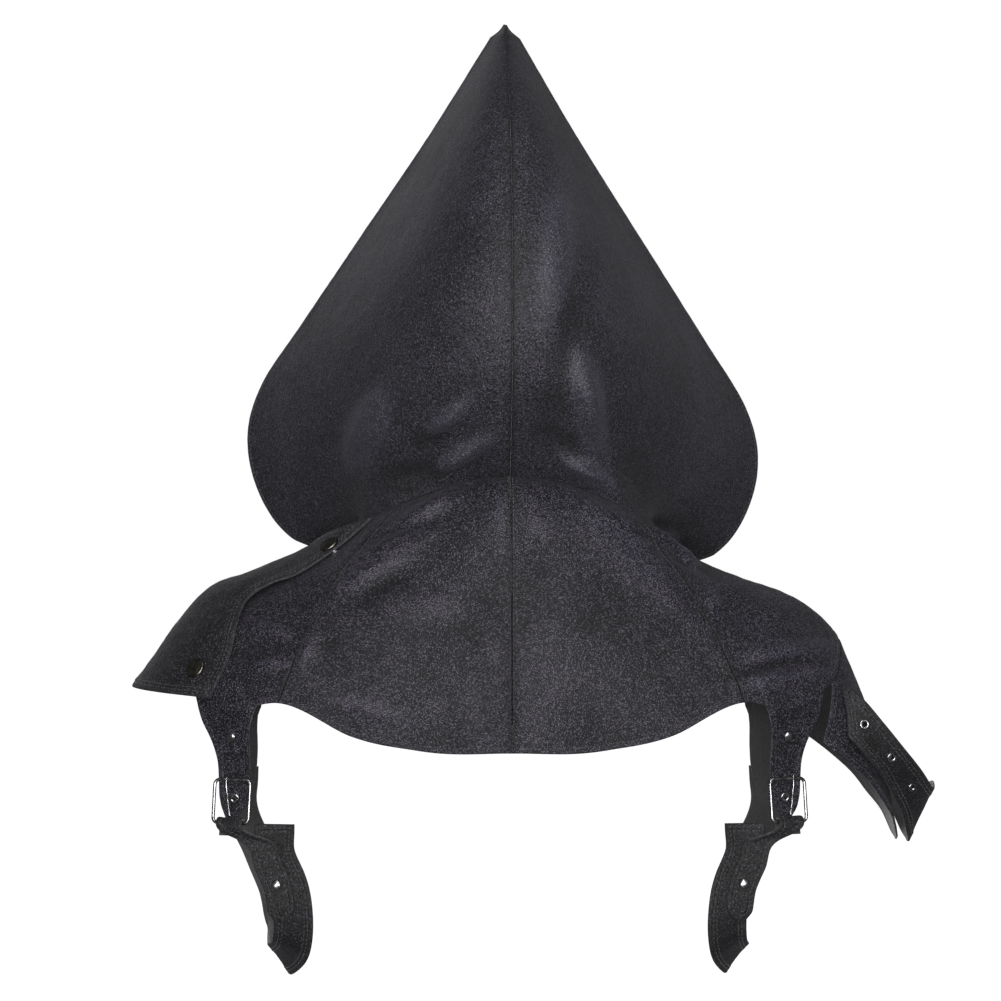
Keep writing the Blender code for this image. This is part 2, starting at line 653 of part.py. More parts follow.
def make_eyelet(name, wall, collection):
    """A metal eyelet: a rim that lies on the leather and a barrel through it."""
    profile = (
        (EYELET_BORE, EYELET_RIM * 0.6 + SEAT_GAP),
        (EYELET_BARREL, EYELET_RIM + SEAT_GAP),
        (EYELET_RADIUS, EYELET_RIM * 0.4 + SEAT_GAP),
        (EYELET_RADIUS, SEAT_GAP),
        (EYELET_BARREL, SEAT_GAP),
        (EYELET_BARREL, -wall),
        (EYELET_BORE, -wall),
        (EYELET_BORE, EYELET_RIM * 0.6 + SEAT_GAP),
    )
    return turned(name, profile, 12, METAL, collection)


def drill(piece, name, place, radius, cutters):
    """Cuts a round hole through a wall, along the place's Z."""
    body = bmesh.new()
    bmesh.ops.create_cone(
        body, cap_ends=True, segments=12, radius1=radius, radius2=radius, depth=4 * STRAP_WALL
    )
    mesh = bpy.data.meshes.new(name)
    body.to_mesh(mesh)
    body.free()
    cutter = bpy.data.objects.new(name, mesh)
    cutter.matrix_world = place
    cutter.hide_render = True
    cutter.display_type = "WIRE"
    cutters.objects.link(cutter)
    cut = piece.modifiers.new(name, "BOOLEAN")
    cut.operation = "DIFFERENCE"
    cut.object = cutter


def strip(name, frames, wall, look, collection):
    """A strap from frame to frame, each a middle point and half the strap's width as a vector."""
    grid = [[middle - half, middle, middle + half] for middle, half in frames]
    return sheet(name, grid, wall, look, collection)


def strap_place(side, way):
    """A place along an under-arm strap: its middle, its width's direction and the way it faces."""
    def middle_at(share):
        level = lambda column: row_at(STRAP_ROWS, column, share)
        return Vector((
            side * level("out") * CHEST_HALF_WIDTH,
            level("ahead") * CHEST_HALF_DEPTH,
            -level("down") * ARMHOLE_DROP,
        ))

    turn = math.radians(row_at(STRAP_ROWS, "turn", way))
    lean = math.radians(row_at(STRAP_ROWS, "lean", way))
    level_line = Vector((side * math.cos(turn), math.sin(turn), 0))
    width = level_line * math.cos(lean) + Vector((0, 0, 1)) * math.sin(lean)
    along = (middle_at(way + 0.02) - middle_at(way - 0.02)).normalized()
    width = (width - along * width.dot(along)).normalized()
    return middle_at(way), width, side * along.cross(width)


def make_strap(side, name, collection):
    """The strap that runs from beside the buckle, under the arm, to the front tab."""
    frames = []
    for step in range(STRAP_STEPS + 1):
        middle, width, _ = strap_place(side, step / STRAP_STEPS)
        frames.append((middle, width * STRAP_WIDTH / 2))
    lap = (YOKE_WALL + STRAP_WALL) / 2 + 2 * SEAT_GAP
    for number in STRAP_LAP_ROWS:
        row = TAB_ROWS[number]
        middle = tab_point(side, True, row, 0.5)
        width = (tab_point(side, True, row, 1) - tab_point(side, True, row, 0)).normalized()
        frames.append((middle + tab_normal(side, True, number) * lap, width * STRAP_WIDTH / 2))
    return strip(name, frames, STRAP_WALL, LINING_EDGE, collection)


def tab_normal(side, front, number):
    """The way that a tab faces, away from the body, at one of its rows."""
    row, other = TAB_ROWS[number], TAB_ROWS[number - 1]
    across = tab_point(side, front, row, 1) - tab_point(side, front, row, 0)
    up = tab_point(side, front, other, 0.5) - tab_point(side, front, row, 0.5)
    return across.cross(up).normalized() * side * (-1 if front else 1)


def buckle_frame(side):
    """A buckle's place: the middle of its top bar, its directions across, down and outward."""
    row = tab_row(BUCKLE_DOWN)
    middle = tab_point(side, False, row, 0.5)
    across = (tab_point(side, False, row, 0) - tab_point(side, False, row, 1)).normalized()
    down = Vector((-side * BUCKLE_LEAN, -BUCKLE_LEAN, -1))
    down = (down - across * down.dot(across)).normalized()
    outward = across.cross(down) * side
    stand = YOKE_WALL / 2 + BUCKLE_WIRE_RADIUS + 2 * SEAT_GAP
    return middle + outward * stand, across, down, outward


def make_buckle(side, word, collection):
    """The wire frame of a buckle and its prong."""
    top, across, down, outward = buckle_frame(side)
    points = []
    corners = ((-1, 0, 180), (1, 0, 270), (1, 1, 0), (-1, 1, 90))
    for x, y, start in corners:
        centre = Vector((
            x * (BUCKLE_WIDTH / 2 - BUCKLE_CORNER), y * BUCKLE_HEIGHT + (1 - 2 * y) * BUCKLE_CORNER, 0
        ))
        for step in range(4):
            turn = math.radians(start + 30 * step)
            spot = centre + Vector((math.cos(turn), math.sin(turn), 0)) * BUCKLE_CORNER
            points.append(top + across * spot.x + down * spot.y)
    wire(f"buckle_frame_{word}", points, BUCKLE_WIRE_RADIUS, True, METAL, collection)
    over = BUCKLE_WIRE_RADIUS + PRONG_WIRE_RADIUS + SEAT_GAP
    fold = BUCKLE_WIRE_RADIUS + CHAPE_WALL + PRONG_WIRE_RADIUS + 3 * SEAT_GAP
    aside = -across * BUCKLE_WIDTH * 0.14
    path = [
        top + down * (BUCKLE_HEIGHT - fold) + outward * over * 0.8,
        top + down * BUCKLE_HEIGHT * 0.6 + outward * over * 0.8 + aside * 0.4,
        top + down * BUCKLE_HEIGHT * 0.3 + outward * over * 0.8 + aside * 0.8,
        top + down * BUCKLE_HEIGHT * 0.08 + outward * over + aside,
        top - down * BUCKLE_WIRE_RADIUS * 1.4 + outward * over + aside,
    ]
    wire(f"buckle_prong_{word}", path, PRONG_WIRE_RADIUS, False, METAL, collection)


def make_chape(side, name, collection):
    """The short strap that holds a buckle: folded round its lower bar and riveted to the strap."""
    top, across, down, outward = buckle_frame(side)
    bar = top + down * BUCKLE_HEIGHT
    half = across * -CHAPE_WIDTH / 2
    round_bar = BUCKLE_WIRE_RADIUS + 3 * SEAT_GAP + CHAPE_WALL / 2
    frames = [(bar - outward * round_bar + down * CHAPE_TURN, half)]
    for turn in (180, 135, 90, 45, 0):
        bow = math.radians(turn)
        spot = outward * math.cos(bow) - down * math.sin(bow)
        frames.append((bar + spot * round_bar, half))
    clear = (STRAP_WALL + CHAPE_WALL) / 2 + 2 * SEAT_GAP
    for row in CHAPE_ROWS:
        middle, width, faces = strap_place(side, row.step / STRAP_STEPS)
        place = middle + width * row.aside * STRAP_WIDTH + faces * (clear + row.stand * CHAPE_STAND)
        frames.append((place, width * row.width * CHAPE_WIDTH / 2))
    chape = strip(name, frames, CHAPE_WALL, LINING_EDGE, collection)
    middle, width, faces = strap_place(side, CHAPE_ROWS[CHAPE_RIVET_ROW].step / STRAP_STEPS)
    spot = middle + width * CHAPE_ROWS[CHAPE_RIVET_ROW].aside * STRAP_WIDTH
    return chape, spot, faces


def make_snap(word, across, way, flap, shoulder, collection):
    """A press stud: a cap on the flap and a socket between the flap and the shoulder panel."""
    place = flap_point(across, way)
    step = 0.02
    run = flap_point(across, way + step) - flap_point(across, way - step)
    level = flap_point(across + step, way) - flap_point(across - step, way)
    outward = run.cross(level).normalized()
    if outward.dot(place) < 0:
        outward.negate()
    top = SEAT_GAP + SNAP_HEIGHT
    profile = (
        (0, top),
        (SNAP_RADIUS * 0.6, top - SNAP_HEIGHT * 0.12),
        (SNAP_RADIUS * 0.9, top - SNAP_HEIGHT * 0.45),
        (SNAP_RADIUS, SEAT_GAP + SNAP_HEIGHT * 0.2),
        (SNAP_RADIUS * 0.94, SEAT_GAP),
        (0, SEAT_GAP),
    )
    hit, normal = seat(flap, place, outward, SNAP_RADIUS)
    cap = turned(f"snap_cap_{word}", profile, 16, CAP_METAL, collection)
    cap.matrix_world = frame_on(hit, normal, Vector((0, 0, 1)))
    base, normal = seat_under(flap, shoulder, place, outward, SNAP_SOCKET_RADIUS)
    top_face = surface_of(flap)
    rim = [Vector((math.cos(math.tau * i / 8), math.sin(math.tau * i / 8), 0)) for i in range(8)]
    matrix = frame_on(base, normal, Vector((0, 0, 1)))
    rises = []
    for spot in [Vector()] + rim:
        start = matrix @ (spot * SNAP_SOCKET_RADIUS)
        rises.append(top_face.ray_cast(start, normal, 0.05)[3])
    height = min(rise for rise in rises if rise is not None) - SEAT_GAP
    profile = (
        (0, height),
        (SNAP_SOCKET_RADIUS * 0.7, height),
        (SNAP_SOCKET_RADIUS * 0.7, height * 0.5),
        (SNAP_SOCKET_RADIUS, height * 0.5),
        (SNAP_SOCKET_RADIUS, SEAT_GAP),
        (0, SEAT_GAP),
    )
    socket = turned(f"snap_socket_{word}", profile, 12, METAL, collection)
    socket.matrix_world = matrix
    return cap


def seat_under(upper, lower, place, outward, radius):
    """Where a round fitting sits on the lower of two pieces, under a place on the upper one."""
    start = place - outward * (FLAP_WALL / 2 + SEAT_GAP)
    surface = surface_of(lower)
    hit = surface.ray_cast(start, -outward, 0.05)
    aside = hit[1].orthogonal().normalized() * radius
    rises, normals = [], [hit[1]]
    for i in range(8):
        spot = hit[0] + Matrix.Rotation(math.tau * i / 8, 3, hit[1]) @ aside + hit[1] * 0.003
        other = surface.ray_cast(spot, -hit[1], 0.01)
        if other[0] is not None:
            normals.append(other[1])
            rises.append(other[0])
    normal = sum(normals, Vector()).normalized()
    rise = max([0.0] + [(spot - hit[0]).dot(normal) for spot in rises])
    return hit[0] + normal * rise, normal


def make_clasp(collection):
    """The plain strap that closes the centre front."""
    across, down = 8, 3
    grid = []
    for j in range(down + 1):
        line = []
        for i in range(across + 1):
            share = 2 * i / across - 1
            out = yoke_point(RIGHT, 180, CLASP_WAY).xy.length
            bow = math.degrees(share * CLASP_WIDTH / 2 / out)
            reach = (yoke_point(RIGHT, 180, 1) - yoke_point(RIGHT, 180, 0)).length
            way = CLASP_WAY + (j / down - 0.5) * CLASP_HEIGHT / reach
            side = RIGHT if bow >= 0 else LEFT
            angle = 180 - abs(bow)
            point = yoke_point(side, angle, way)
            run = yoke_run(side, angle, way, way + 1 / YOKE_STEPS)
            outward = Vector((point.x, point.y, 0)).normalized()
            outward = (outward - run * outward.dot(run)).normalized()
            clear = (YOKE_WALL + CLASP_WALL) / 2 + 2 * SEAT_GAP
            line.append(point + outward * clear)
        grid.append(line)
    return sheet("front_clasp", grid, CLASP_WALL, LINING_EDGE, collection)


def make_rivet(name, piece, place, outward, collection):
    """A domed rivet head seated on a piece."""
    top = SEAT_GAP + RIVET_HEIGHT
    profile = (
        (0, top),
        (RIVET_RADIUS * 0.5, top - RIVET_HEIGHT * 0.16),
        (RIVET_RADIUS * 0.86, top - RIVET_HEIGHT * 0.55),
        (RIVET_RADIUS, SEAT_GAP),
        (0, SEAT_GAP),
    )
    hit, normal = seat(piece, place, outward, RIVET_RADIUS)
    rivet = turned(name, profile, 12, METAL, collection)
    rivet.matrix_world = frame_on(hit, normal, Vector((0, 0, 1)))
    return rivet


def main():
    clear_scene()
    scene = bpy.context.scene
    collection = bpy.data.collections.new("costume_hood")
    cutters = bpy.data.collections.new("cutters")
    for made in (collection, cutters):
        scene.collection.children.link(made)
    seam = SIDE_SEAM_ANGLE
    shoulders = {}
    for side, word in ((LEFT, "left"), (RIGHT, "right")):
        make_hood(side, f"hood_{word}", collection)
        yoke_panel(side, f"yoke_back_{word}", 0, seam, 9, collection)
        yoke_panel(side, f"yoke_front_{word}", 180 - seam, 180, 9, collection)
        shoulders[side] = make_shoulder(side, f"shoulder_{word}", collection)
        behind = Vector((0, -1, 0))
        root = tab_point(side, False, tab_row(TAB_RIVET_DOWN), TAB_MIDDLE)
        make_rivet(f"tab_rivet_{word}", shoulders[side], root, behind, collection)
        billet = tab_point(side, False, tab_row(BILLET_EYELET_DOWN), TAB_MIDDLE)
        fit_eyelet(f"billet_eyelet_{word}", shoulders[side], YOKE_WALL, billet, behind, collection, cutters)
        make_buckle(side, word, collection)
        make_strap(side, f"side_strap_{word}", collection)
        chape, spot, faces = make_chape(side, f"chape_{word}", collection)
        make_rivet(f"chape_rivet_{word}", chape, spot, faces, collection)
    flap = make_flap(collection)
    for word, (across, way) in SNAP_PLACES.items():
        make_snap(word, across, way, flap, shoulders[LEFT], collection)
    make_sleeve(collection)
    make_cuff(collection, cutters)
    make_clasp(collection)


main()
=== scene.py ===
"""Dresses the costume hood: suede-faced leather, stitching, buckles and press studs over the CAD frame.

Metres, +Z up. The wearer faces +Y and the wearer's right is +X.
"""

import math
from collections import namedtuple

import bpy
import numpy as np
from bpy.props import FloatProperty, FloatVectorProperty, IntProperty, PointerProperty
from mathutils import Matrix, Vector, noise
from mathutils.bvhtree import BVHTree
from mathutils.kdtree import KDTree


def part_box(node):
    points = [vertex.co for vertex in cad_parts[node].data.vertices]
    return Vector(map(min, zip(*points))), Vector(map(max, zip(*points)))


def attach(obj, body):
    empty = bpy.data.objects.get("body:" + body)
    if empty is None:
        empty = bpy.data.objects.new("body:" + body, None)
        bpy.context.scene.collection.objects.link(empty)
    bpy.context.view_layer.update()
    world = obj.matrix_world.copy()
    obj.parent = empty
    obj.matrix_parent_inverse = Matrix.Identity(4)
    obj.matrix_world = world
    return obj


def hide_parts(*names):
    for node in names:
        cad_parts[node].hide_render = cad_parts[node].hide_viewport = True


bl_info = {
    "name": "Costume Hood",
    "version": (1, 0, 0),
    "blender": (4, 5, 0),
    "location": "3D View > Sidebar > Costume Hood",
    "description": "Makes a tall pointed hood on a shoulder cape, piece by piece",
    "category": "Add Mesh",
}

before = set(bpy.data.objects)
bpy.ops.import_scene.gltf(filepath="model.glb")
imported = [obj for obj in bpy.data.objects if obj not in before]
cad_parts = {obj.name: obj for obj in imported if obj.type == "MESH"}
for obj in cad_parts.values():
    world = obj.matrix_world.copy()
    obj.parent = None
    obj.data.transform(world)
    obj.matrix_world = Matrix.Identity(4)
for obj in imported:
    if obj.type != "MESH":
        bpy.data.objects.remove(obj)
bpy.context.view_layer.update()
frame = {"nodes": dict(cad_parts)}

LEFT, RIGHT = -1, 1
SIDES = ((LEFT, "left"), (RIGHT, "right"))

# The scene's own sizes
SEAM_GAP = 0.00001  # between the rolled edges of two sewn panels, which press against each other
RUN_STEP = 1 / 9  # the share of the yoke that gives the way it runs at an edge
PEAK_TAPER = 0.02  # the share of the height over which the panels close into a point
STRAP_LENGTH = 0.312
CHAPE_LENGTH = 0.083
HOOD_MESH_RISE = 0.41  # about how far a panel runs, which sets how many faces it has
HOOD_MESH_WIDTH = 0.24
YOKE_MESH_WIDTH = 0.125
YOKE_MESH_LENGTH = 0.17
SHOULDER_MESH_LENGTH = 0.16
FLAP_MESH_WIDTH = 0.13
FLAP_MESH_LENGTH = 0.165
SLEEVE_MESH_WIDTH = 0.15
SLEEVE_MESH_LENGTH = 0.10
ARM_STRAP_LENGTH = 0.19
ARM_STRAP_WIDTH = 0.036
ARM_STRAP_SPACING = 0.0016
HOOD_EASED_ROWS = 16  # the rows by the neck seam that are eased into the curve above it
HOOD_EASED_PASSES = 6
TAB_EASED_PASSES = 5
STRAP_SPACING = 0.0014
NARROW_SPACING = 0.0012
CLASP_SPACING = 0.0013

# The pattern's sizes, which are those of the frame
SLEEVE_GAP = 0.0008
SEAT_GAP = 0.0003
HOOD_WALL = 0.0016
YOKE_WALL = 0.0016
FLAP_WALL = 0.002
STRAP_WALL = 0.0024
SLEEVE_WALL = 0.0016
NECK_HALF_WIDTH = 0.1035
NAPE_RISE = 0.053
SHOULDER_HALF_WIDTH = 0.218
YOKE_DROP = 0.122
SIDE_SEAM_ANGLE = 57.5
HOOD_RISE = 0.360
HOOD_HALF_WIDTH = 0.1745
HOOD_BACK_REACH = 0.119
HOOD_FRONT_REACH = 0.095
HOOD_SKEW = 0.04
NECK_SEAM_TURN = 0.003
HOOD_FRONT_ANGLE = 160
HOOD_NEAR_OUT = 0.42
HOOD_FAR_OUT = 0.60
HOOD_FAR_REACH = 0.52
HOOD_NECK_BLEND = 0.30
HOOD_EDGE_BLEND = 0.08
FOLD_HEIGHT = 0.0035
FLAP_REACH = 0.247
TAB_FIRST_ANGLE = 61
TAB_LAST_ANGLE = 73
TAB_DROP = 0.066
TAB_ROOT_SHARE = 0.82
BUCKLE_DOWN = 0.62
STRAP_WIDTH = 0.026
CHEST_HALF_WIDTH = 0.145
CHEST_HALF_DEPTH = 0.078
ARMHOLE_DROP = 0.255
STRAP_STEPS = 30
STRAP_LAP_ROWS = (5, 4, 3)
CHAPE_WIDTH = 0.018
CHAPE_WALL = 0.0018
CHAPE_STAND = 0.007
CHAPE_TURN = 0.008
BUCKLE_WIDTH = 0.025
BUCKLE_HEIGHT = 0.028
BUCKLE_CORNER = 0.0035
BUCKLE_WIRE_RADIUS = 0.0011
PRONG_WIRE_RADIUS = 0.0008
BUCKLE_LEAN = 0.24
ARM_CENTRE = 0.190
SLEEVE_RADIUS = 0.068
SLEEVE_DROP = 0.186
SLEEVE_BULGE = 0.005
SLEEVE_TURN = 80
SLEEVE_HEM_ANGLE = 75.5
SLEEVE_SEAM_TURN = 0.002
STRAP_FLARE = 0.029
CLASP_WIDTH = 0.050
CLASP_HEIGHT = 0.022
CLASP_WALL = 0.0024
CLASP_WAY = 0.55

YokeRow = namedtuple("YokeRow", "angle neck_out neck_up slope_out slope_up edge_out edge_up hem_out hem_up")
# A row for each direction from the centre back. neck_out is a share of NECK_HALF_WIDTH, neck_up of
# NAPE_RISE, the other outs of SHOULDER_HALF_WIDTH and the other ups of YOKE_DROP.
YOKE_ROWS = (
    YokeRow(0.0, 0.60, 1.00, 0.410, 0.165, 0.468, -0.37, 0.482, -1.000),
    YokeRow(30.0, 0.65, 0.94, 0.445, 0.140, 0.537, -0.37, 0.560, -0.983),
    YokeRow(45.0, 0.71, 0.82, 0.495, 0.072, 0.615, -0.37, 0.667, -0.909),
    YokeRow(57.5, 0.79, 0.68, 0.560, -0.010, 0.705, -0.37, 0.810, -0.740),
    YokeRow(66.0, 0.85, 0.57, 0.605, -0.052, 0.780, -0.38, 0.912, -0.780),
    YokeRow(75.0, 0.91, 0.46, 0.650, -0.077, 0.856, -0.33, 0.986, -0.655),
    YokeRow(90.0, 1.00, 0.32, 0.662, -0.078, 0.850, -0.20, 1.000, -0.420),
    YokeRow(105.0, 1.03, 0.17, 0.660, -0.114, 0.856, -0.34, 0.986, -0.670),
    YokeRow(114.0, 1.02, 0.06, 0.630, -0.155, 0.790, -0.41, 0.912, -0.800),
    YokeRow(122.5, 1.00, -0.04, 0.600, -0.196, 0.715, -0.44, 0.820, -0.760),
    YokeRow(150.0, 0.90, -0.34, 0.510, -0.360, 0.565, -0.64, 0.600, -0.930),
    YokeRow(180.0, 0.85, -0.51, 0.463, -0.433, 0.500, -0.68, 0.515, -0.960),
)

Fold = namedtuple("Fold", "across way spread_across spread_way slant height")
# The broad folds of the yoke: across in degrees from the centre back, minus to the left. slant is how
# many degrees a fold moves outward from way 0 to 1, and height a share of FOLD_HEIGHT.
YOKE_FOLDS = (
    Fold(-36, 0.16, 9, 0.07, 20, 1.0),
    Fold(-48, 0.34, 10, 0.08, 25, 0.9),
    Fold(-40, 0.25, 12, 0.05, 25, -0.5),
    Fold(-36, 0.86, 9, 0.10, -30, 0.7),
    Fold(44, 0.20, 12, 0.07, -30, 0.8),
    Fold(62, 0.16, 10, 0.06, 60, 1.1),
    Fold(66, 0.30, 9, 0.06, 60, -0.7),
    Fold(67, 0.74, 6, 0.06, 40, 0.9),
    Fold(68, 0.60, 6, 0.06, 40, -0.5),
    Fold(24, 0.62, 10, 0.14, 20, 0.6),
    Fold(-18, 0.55, 8, 0.16, -10, 0.5),
)

HoodRow = namedtuple("HoodRow", "way back_reach back_up edge_out edge_reach edge_up")
# A row for each level of the hood, from the neck seam to the peak. The ups are shares of HOOD_RISE,
# back_reach of HOOD_BACK_REACH, edge_out of HOOD_HALF_WIDTH and edge_reach of HOOD_FRONT_REACH.
HOOD_ROWS = (
    HoodRow(0.00, 0.58, 0.170, 0.68, 0.97, -0.030),
    HoodRow(0.12, 0.74, 0.225, 0.89, 1.00, 0.050),
    HoodRow(0.22, 0.87, 0.285, 0.98, 1.00, 0.135),
    HoodRow(0.32, 0.96, 0.355, 1.00, 1.00, 0.222),
    HoodRow(0.42, 1.00, 0.430, 0.95, 0.98, 0.305),
    HoodRow(0.55, 0.95, 0.560, 0.79, 0.91, 0.425),
    HoodRow(0.70, 0.75, 0.700, 0.55, 0.80, 0.600),
    HoodRow(0.85, 0.35, 0.855, 0.275, 0.66, 0.800),
    HoodRow(1.00, -0.30, 0.990, 0.02, 0.50, 1.000),
)
# The same for the hood: across is a share of a panel's width, minus on the left panel.
HOOD_FOLDS = (
    Fold(-0.42, 0.20, 0.16, 0.08, 0.3, 1.1),
    Fold(-0.26, 0.145, 0.10, 0.035, 0.8, -0.9),
    Fold(-0.30, 0.085, 0.12, 0.03, 0.8, 0.6),
    Fold(0.30, 0.24, 0.14, 0.08, -0.2, 1.0),
    Fold(0.52, 0.16, 0.10, 0.05, 0.6, -0.8),
    Fold(0.34, 0.10, 0.14, 0.03, -0.6, 0.7),
    Fold(0.42, 0.52, 0.16, 0.10, 0.2, 0.5),
    Fold(-0.36, 0.48, 0.18, 0.12, -0.2, 0.4),
)

FlapRow = namedtuple("FlapRow", "back_angle back_out back_up ridge_out ridge_up front_out front_up")
# A row for each line across the flap, from the neck to the arm. The outs are shares of FLAP_REACH
# and the ups of YOKE_DROP.
FLAP_ROWS = (
    FlapRow(65.0, 0.400, 0.2236, 0.500, 0.1082, 0.500, 0.0072),
    FlapRow(67.5, 0.478, 0.0830, 0.540, 0.0541, 0.535, -0.0469),
    FlapRow(70.0, 0.585, -0.0649, 0.607, -0.0036, 0.600, -0.1226),
    FlapRow(72.6, 0.650, -0.1190, 0.696, -0.0757, 0.655, -0.1623),
    FlapRow(73.7, 0.694, -0.1695, 0.769, -0.1262, 0.700, -0.1948),
    FlapRow(73.4, 0.727, -0.2344, 0.822, -0.2020, 0.730, -0.2525),
    FlapRow(70.0, 0.762, -0.3570, 0.870, -0.3102, 0.765, -0.3607),
    FlapRow(68.6, 0.780, -0.4689, 0.915, -0.4328, 0.785, -0.4725),
    FlapRow(68.0, 0.805, -0.5770, 0.955, -0.5554, 0.812, -0.5770),
    FlapRow(68.0, 0.842, -0.7213, 1.000, -0.6889, 0.850, -0.7213),
)

TabRow = namedtuple("TabRow", "down inner_out outer_out inner_behind outer_behind")
# A row for each line across a tab: down is a share of TAB_DROP and the rest of SHOULDER_HALF_WIDTH.
TAB_ROWS = (
    TabRow(0.02, 0.766, 0.915, 0.392, 0.302),
    TabRow(0.20, 0.770, 0.887, 0.366, 0.299),
    TabRow(0.42, 0.768, 0.866, 0.343, 0.292),
    TabRow(0.62, 0.770, 0.862, 0.322, 0.284),
    TabRow(0.80, 0.778, 0.860, 0.305, 0.275),
    TabRow(0.93, 0.792, 0.850, 0.292, 0.268),
    TabRow(1.00, 0.808, 0.836, 0.285, 0.270),
)

StrapRow = namedtuple("StrapRow", "out ahead down turn lean")
# A row for each place along a strap under the arm, in shares of CHEST_HALF_WIDTH, CHEST_HALF_DEPTH
# and ARMHOLE_DROP. turn and lean are the direction of the strap's width, in degrees.
STRAP_ROWS = (
    StrapRow(1.050, -0.75, 0.668, 8, 36),
    StrapRow(1.046, -0.86, 0.742, 10, 12),
    StrapRow(0.983, -0.94, 0.825, 10, 2),
    StrapRow(0.963, -0.93, 0.906, 10, 4),
    StrapRow(0.976, -0.80, 0.978, 8, 22),
    StrapRow(1.025, -0.38, 1.020, 4, 50),
    StrapRow(1.040, 0.08, 1.020, 0, 56),
    StrapRow(1.040, 0.48, 0.985, -8, 50),
    StrapRow(1.065, 0.70, 0.890, -20, 32),
    StrapRow(1.140, 0.84, 0.780, -25, 12),
)

ChapeRow = namedtuple("ChapeRow", "step aside stand width")
# A row for each place down a chape's front leg: the strap's step, aside as a share of STRAP_WIDTH,
# stand of CHAPE_STAND and width of CHAPE_WIDTH.
CHAPE_ROWS = (
    ChapeRow(3, 0.22, 1.00, 1.0),
    ChapeRow(4, 0.22, 0.60, 1.0),
    ChapeRow(5, 0.22, 0.25, 1.0),
    ChapeRow(6, 0.24, 0.05, 1.0),
    ChapeRow(7, 0.26, 0.00, 1.0),
    ChapeRow(8, 0.27, 0.00, 1.0),
    ChapeRow(9, 0.29, 0.00, 0.9),
    ChapeRow(10, 0.32, 0.00, 0.4),
)

SleeveRow = namedtuple("SleeveRow", "turn edge_up")
# The sleeve cap's lower edge, by the angle round the arm from its outer side, in shares of SLEEVE_DROP.
SLEEVE_ROWS = (
    SleeveRow(0, -1.000),
    SleeveRow(12, -0.975),
    SleeveRow(25, -0.905),
    SleeveRow(38, -0.845),
    SleeveRow(48, -0.785),
    SleeveRow(60, -0.725),
    SleeveRow(75, -0.655),
    SleeveRow(90, -0.590),
)

CuffRow = namedtuple("CuffRow", "turn top_way top_stand low_way low_stand")
# The strap over the sleeve cap: its edges down the cap, and how far each stands off the cap, in
# shares of STRAP_FLARE.
CUFF_ROWS = (
    CuffRow(0, 0.705, 1.00, 1.010, 0.16),
    CuffRow(20, 0.755, 0.88, 0.990, 0.15),
    CuffRow(34, 0.660, 0.76, 0.940, 0.15),
    CuffRow(47, 0.475, 0.55, 0.890, 0.18),
    CuffRow(59, 0.210, 0.30, 0.820, 0.14),
    CuffRow(67, 0.070, 0.00, 0.720, 0.00),
)

Crease = namedtuple("Crease", "x z length width angle height")
# The creases at the back, in millimetres from the origin. length and width are how far one spreads
# along and across its line, angle is the line's, in degrees up from +X, and minus heights are hollows.
CREASES = (
    Crease(-56, 31, 14, 4.5, 24, 1.3),
    Crease(-89, -6, 24, 6, 30, 1.7),
    Crease(-81, -16, 22, 6, 28, -1.0),
    Crease(-130, -56, 12, 5, 70, 1.0),
    Crease(-92, -93, 22, 6, -18, 1.1),
    Crease(-53, -29, 20, 8, 20, 0.9),
    Crease(-6, 29, 22, 7, 88, 0.9),
    Crease(17, 26, 14, 7, -60, 0.8),
    Crease(116, 4, 11, 4.5, -62, 1.5),
    Crease(124, 8, 13, 2.6, -66, -1.4),
    Crease(101, 24, 13, 3, -6, -1.5),
    Crease(108, 16, 12, 4.5, -10, 1.1),
    Crease(131, -29, 9, 5, -75, 1.1),
    Crease(177, -60, 28, 5, 6, 2.1),
    Crease(172, -67, 24, 2.6, 12, -1.4),
    Crease(172, -76, 26, 5, 5, 2.0),
    Crease(82, 0, 46, 12, -46, 0.9),
    Crease(57, -38, 52, 14, -42, -0.3),
    Crease(-152, -45, 11, 3.5, -18, 2.0),
    Crease(-152, -66, 12, 4, 10, 1.8),
    Crease(-42, 90, 15, 4.5, 42, 3.0),
    Crease(-33, 68, 18, 5, 30, 3.2),
    Crease(-52, 78, 13, 5, 36, -2.2),
    Crease(-62, 54, 17, 8, 14, -3.4),
    Crease(-92, 86, 20, 9, 66, 4.0),
    Crease(48, 103, 28, 8, -78, 4.2),
    Crease(26, 92, 24, 14, 80, -1.2),
    Crease(28, 198, 42, 10, 85, 1.6),
    Crease(38, 147, 25, 8, 80, -1.4),
    Crease(47, 60, 16, 5, -28, 3.4),
    Crease(30, 74, 15, 7, -30, -1.8),
    Crease(84, 49, 10, 22, 20, -1.6),
)

Edge = namedtuple("Edge", "roll welt rows")
# How each kind of edge is finished: how deep it rolls into a seam, how much the turned hem stands up,
# and how many rows of stitches it has.
EDGES = {
    "seam": Edge(0.0004, 0.0, 0),
    "stitched_seam": Edge(0.0004, 0.0, 0),
    "hem": Edge(0.0, 0.00035, 1),
    "bound": Edge(0.0, 0.0005, 2),
    "strap": Edge(0.0, 0.00015, 1),
}
KINDS = tuple(EDGES)
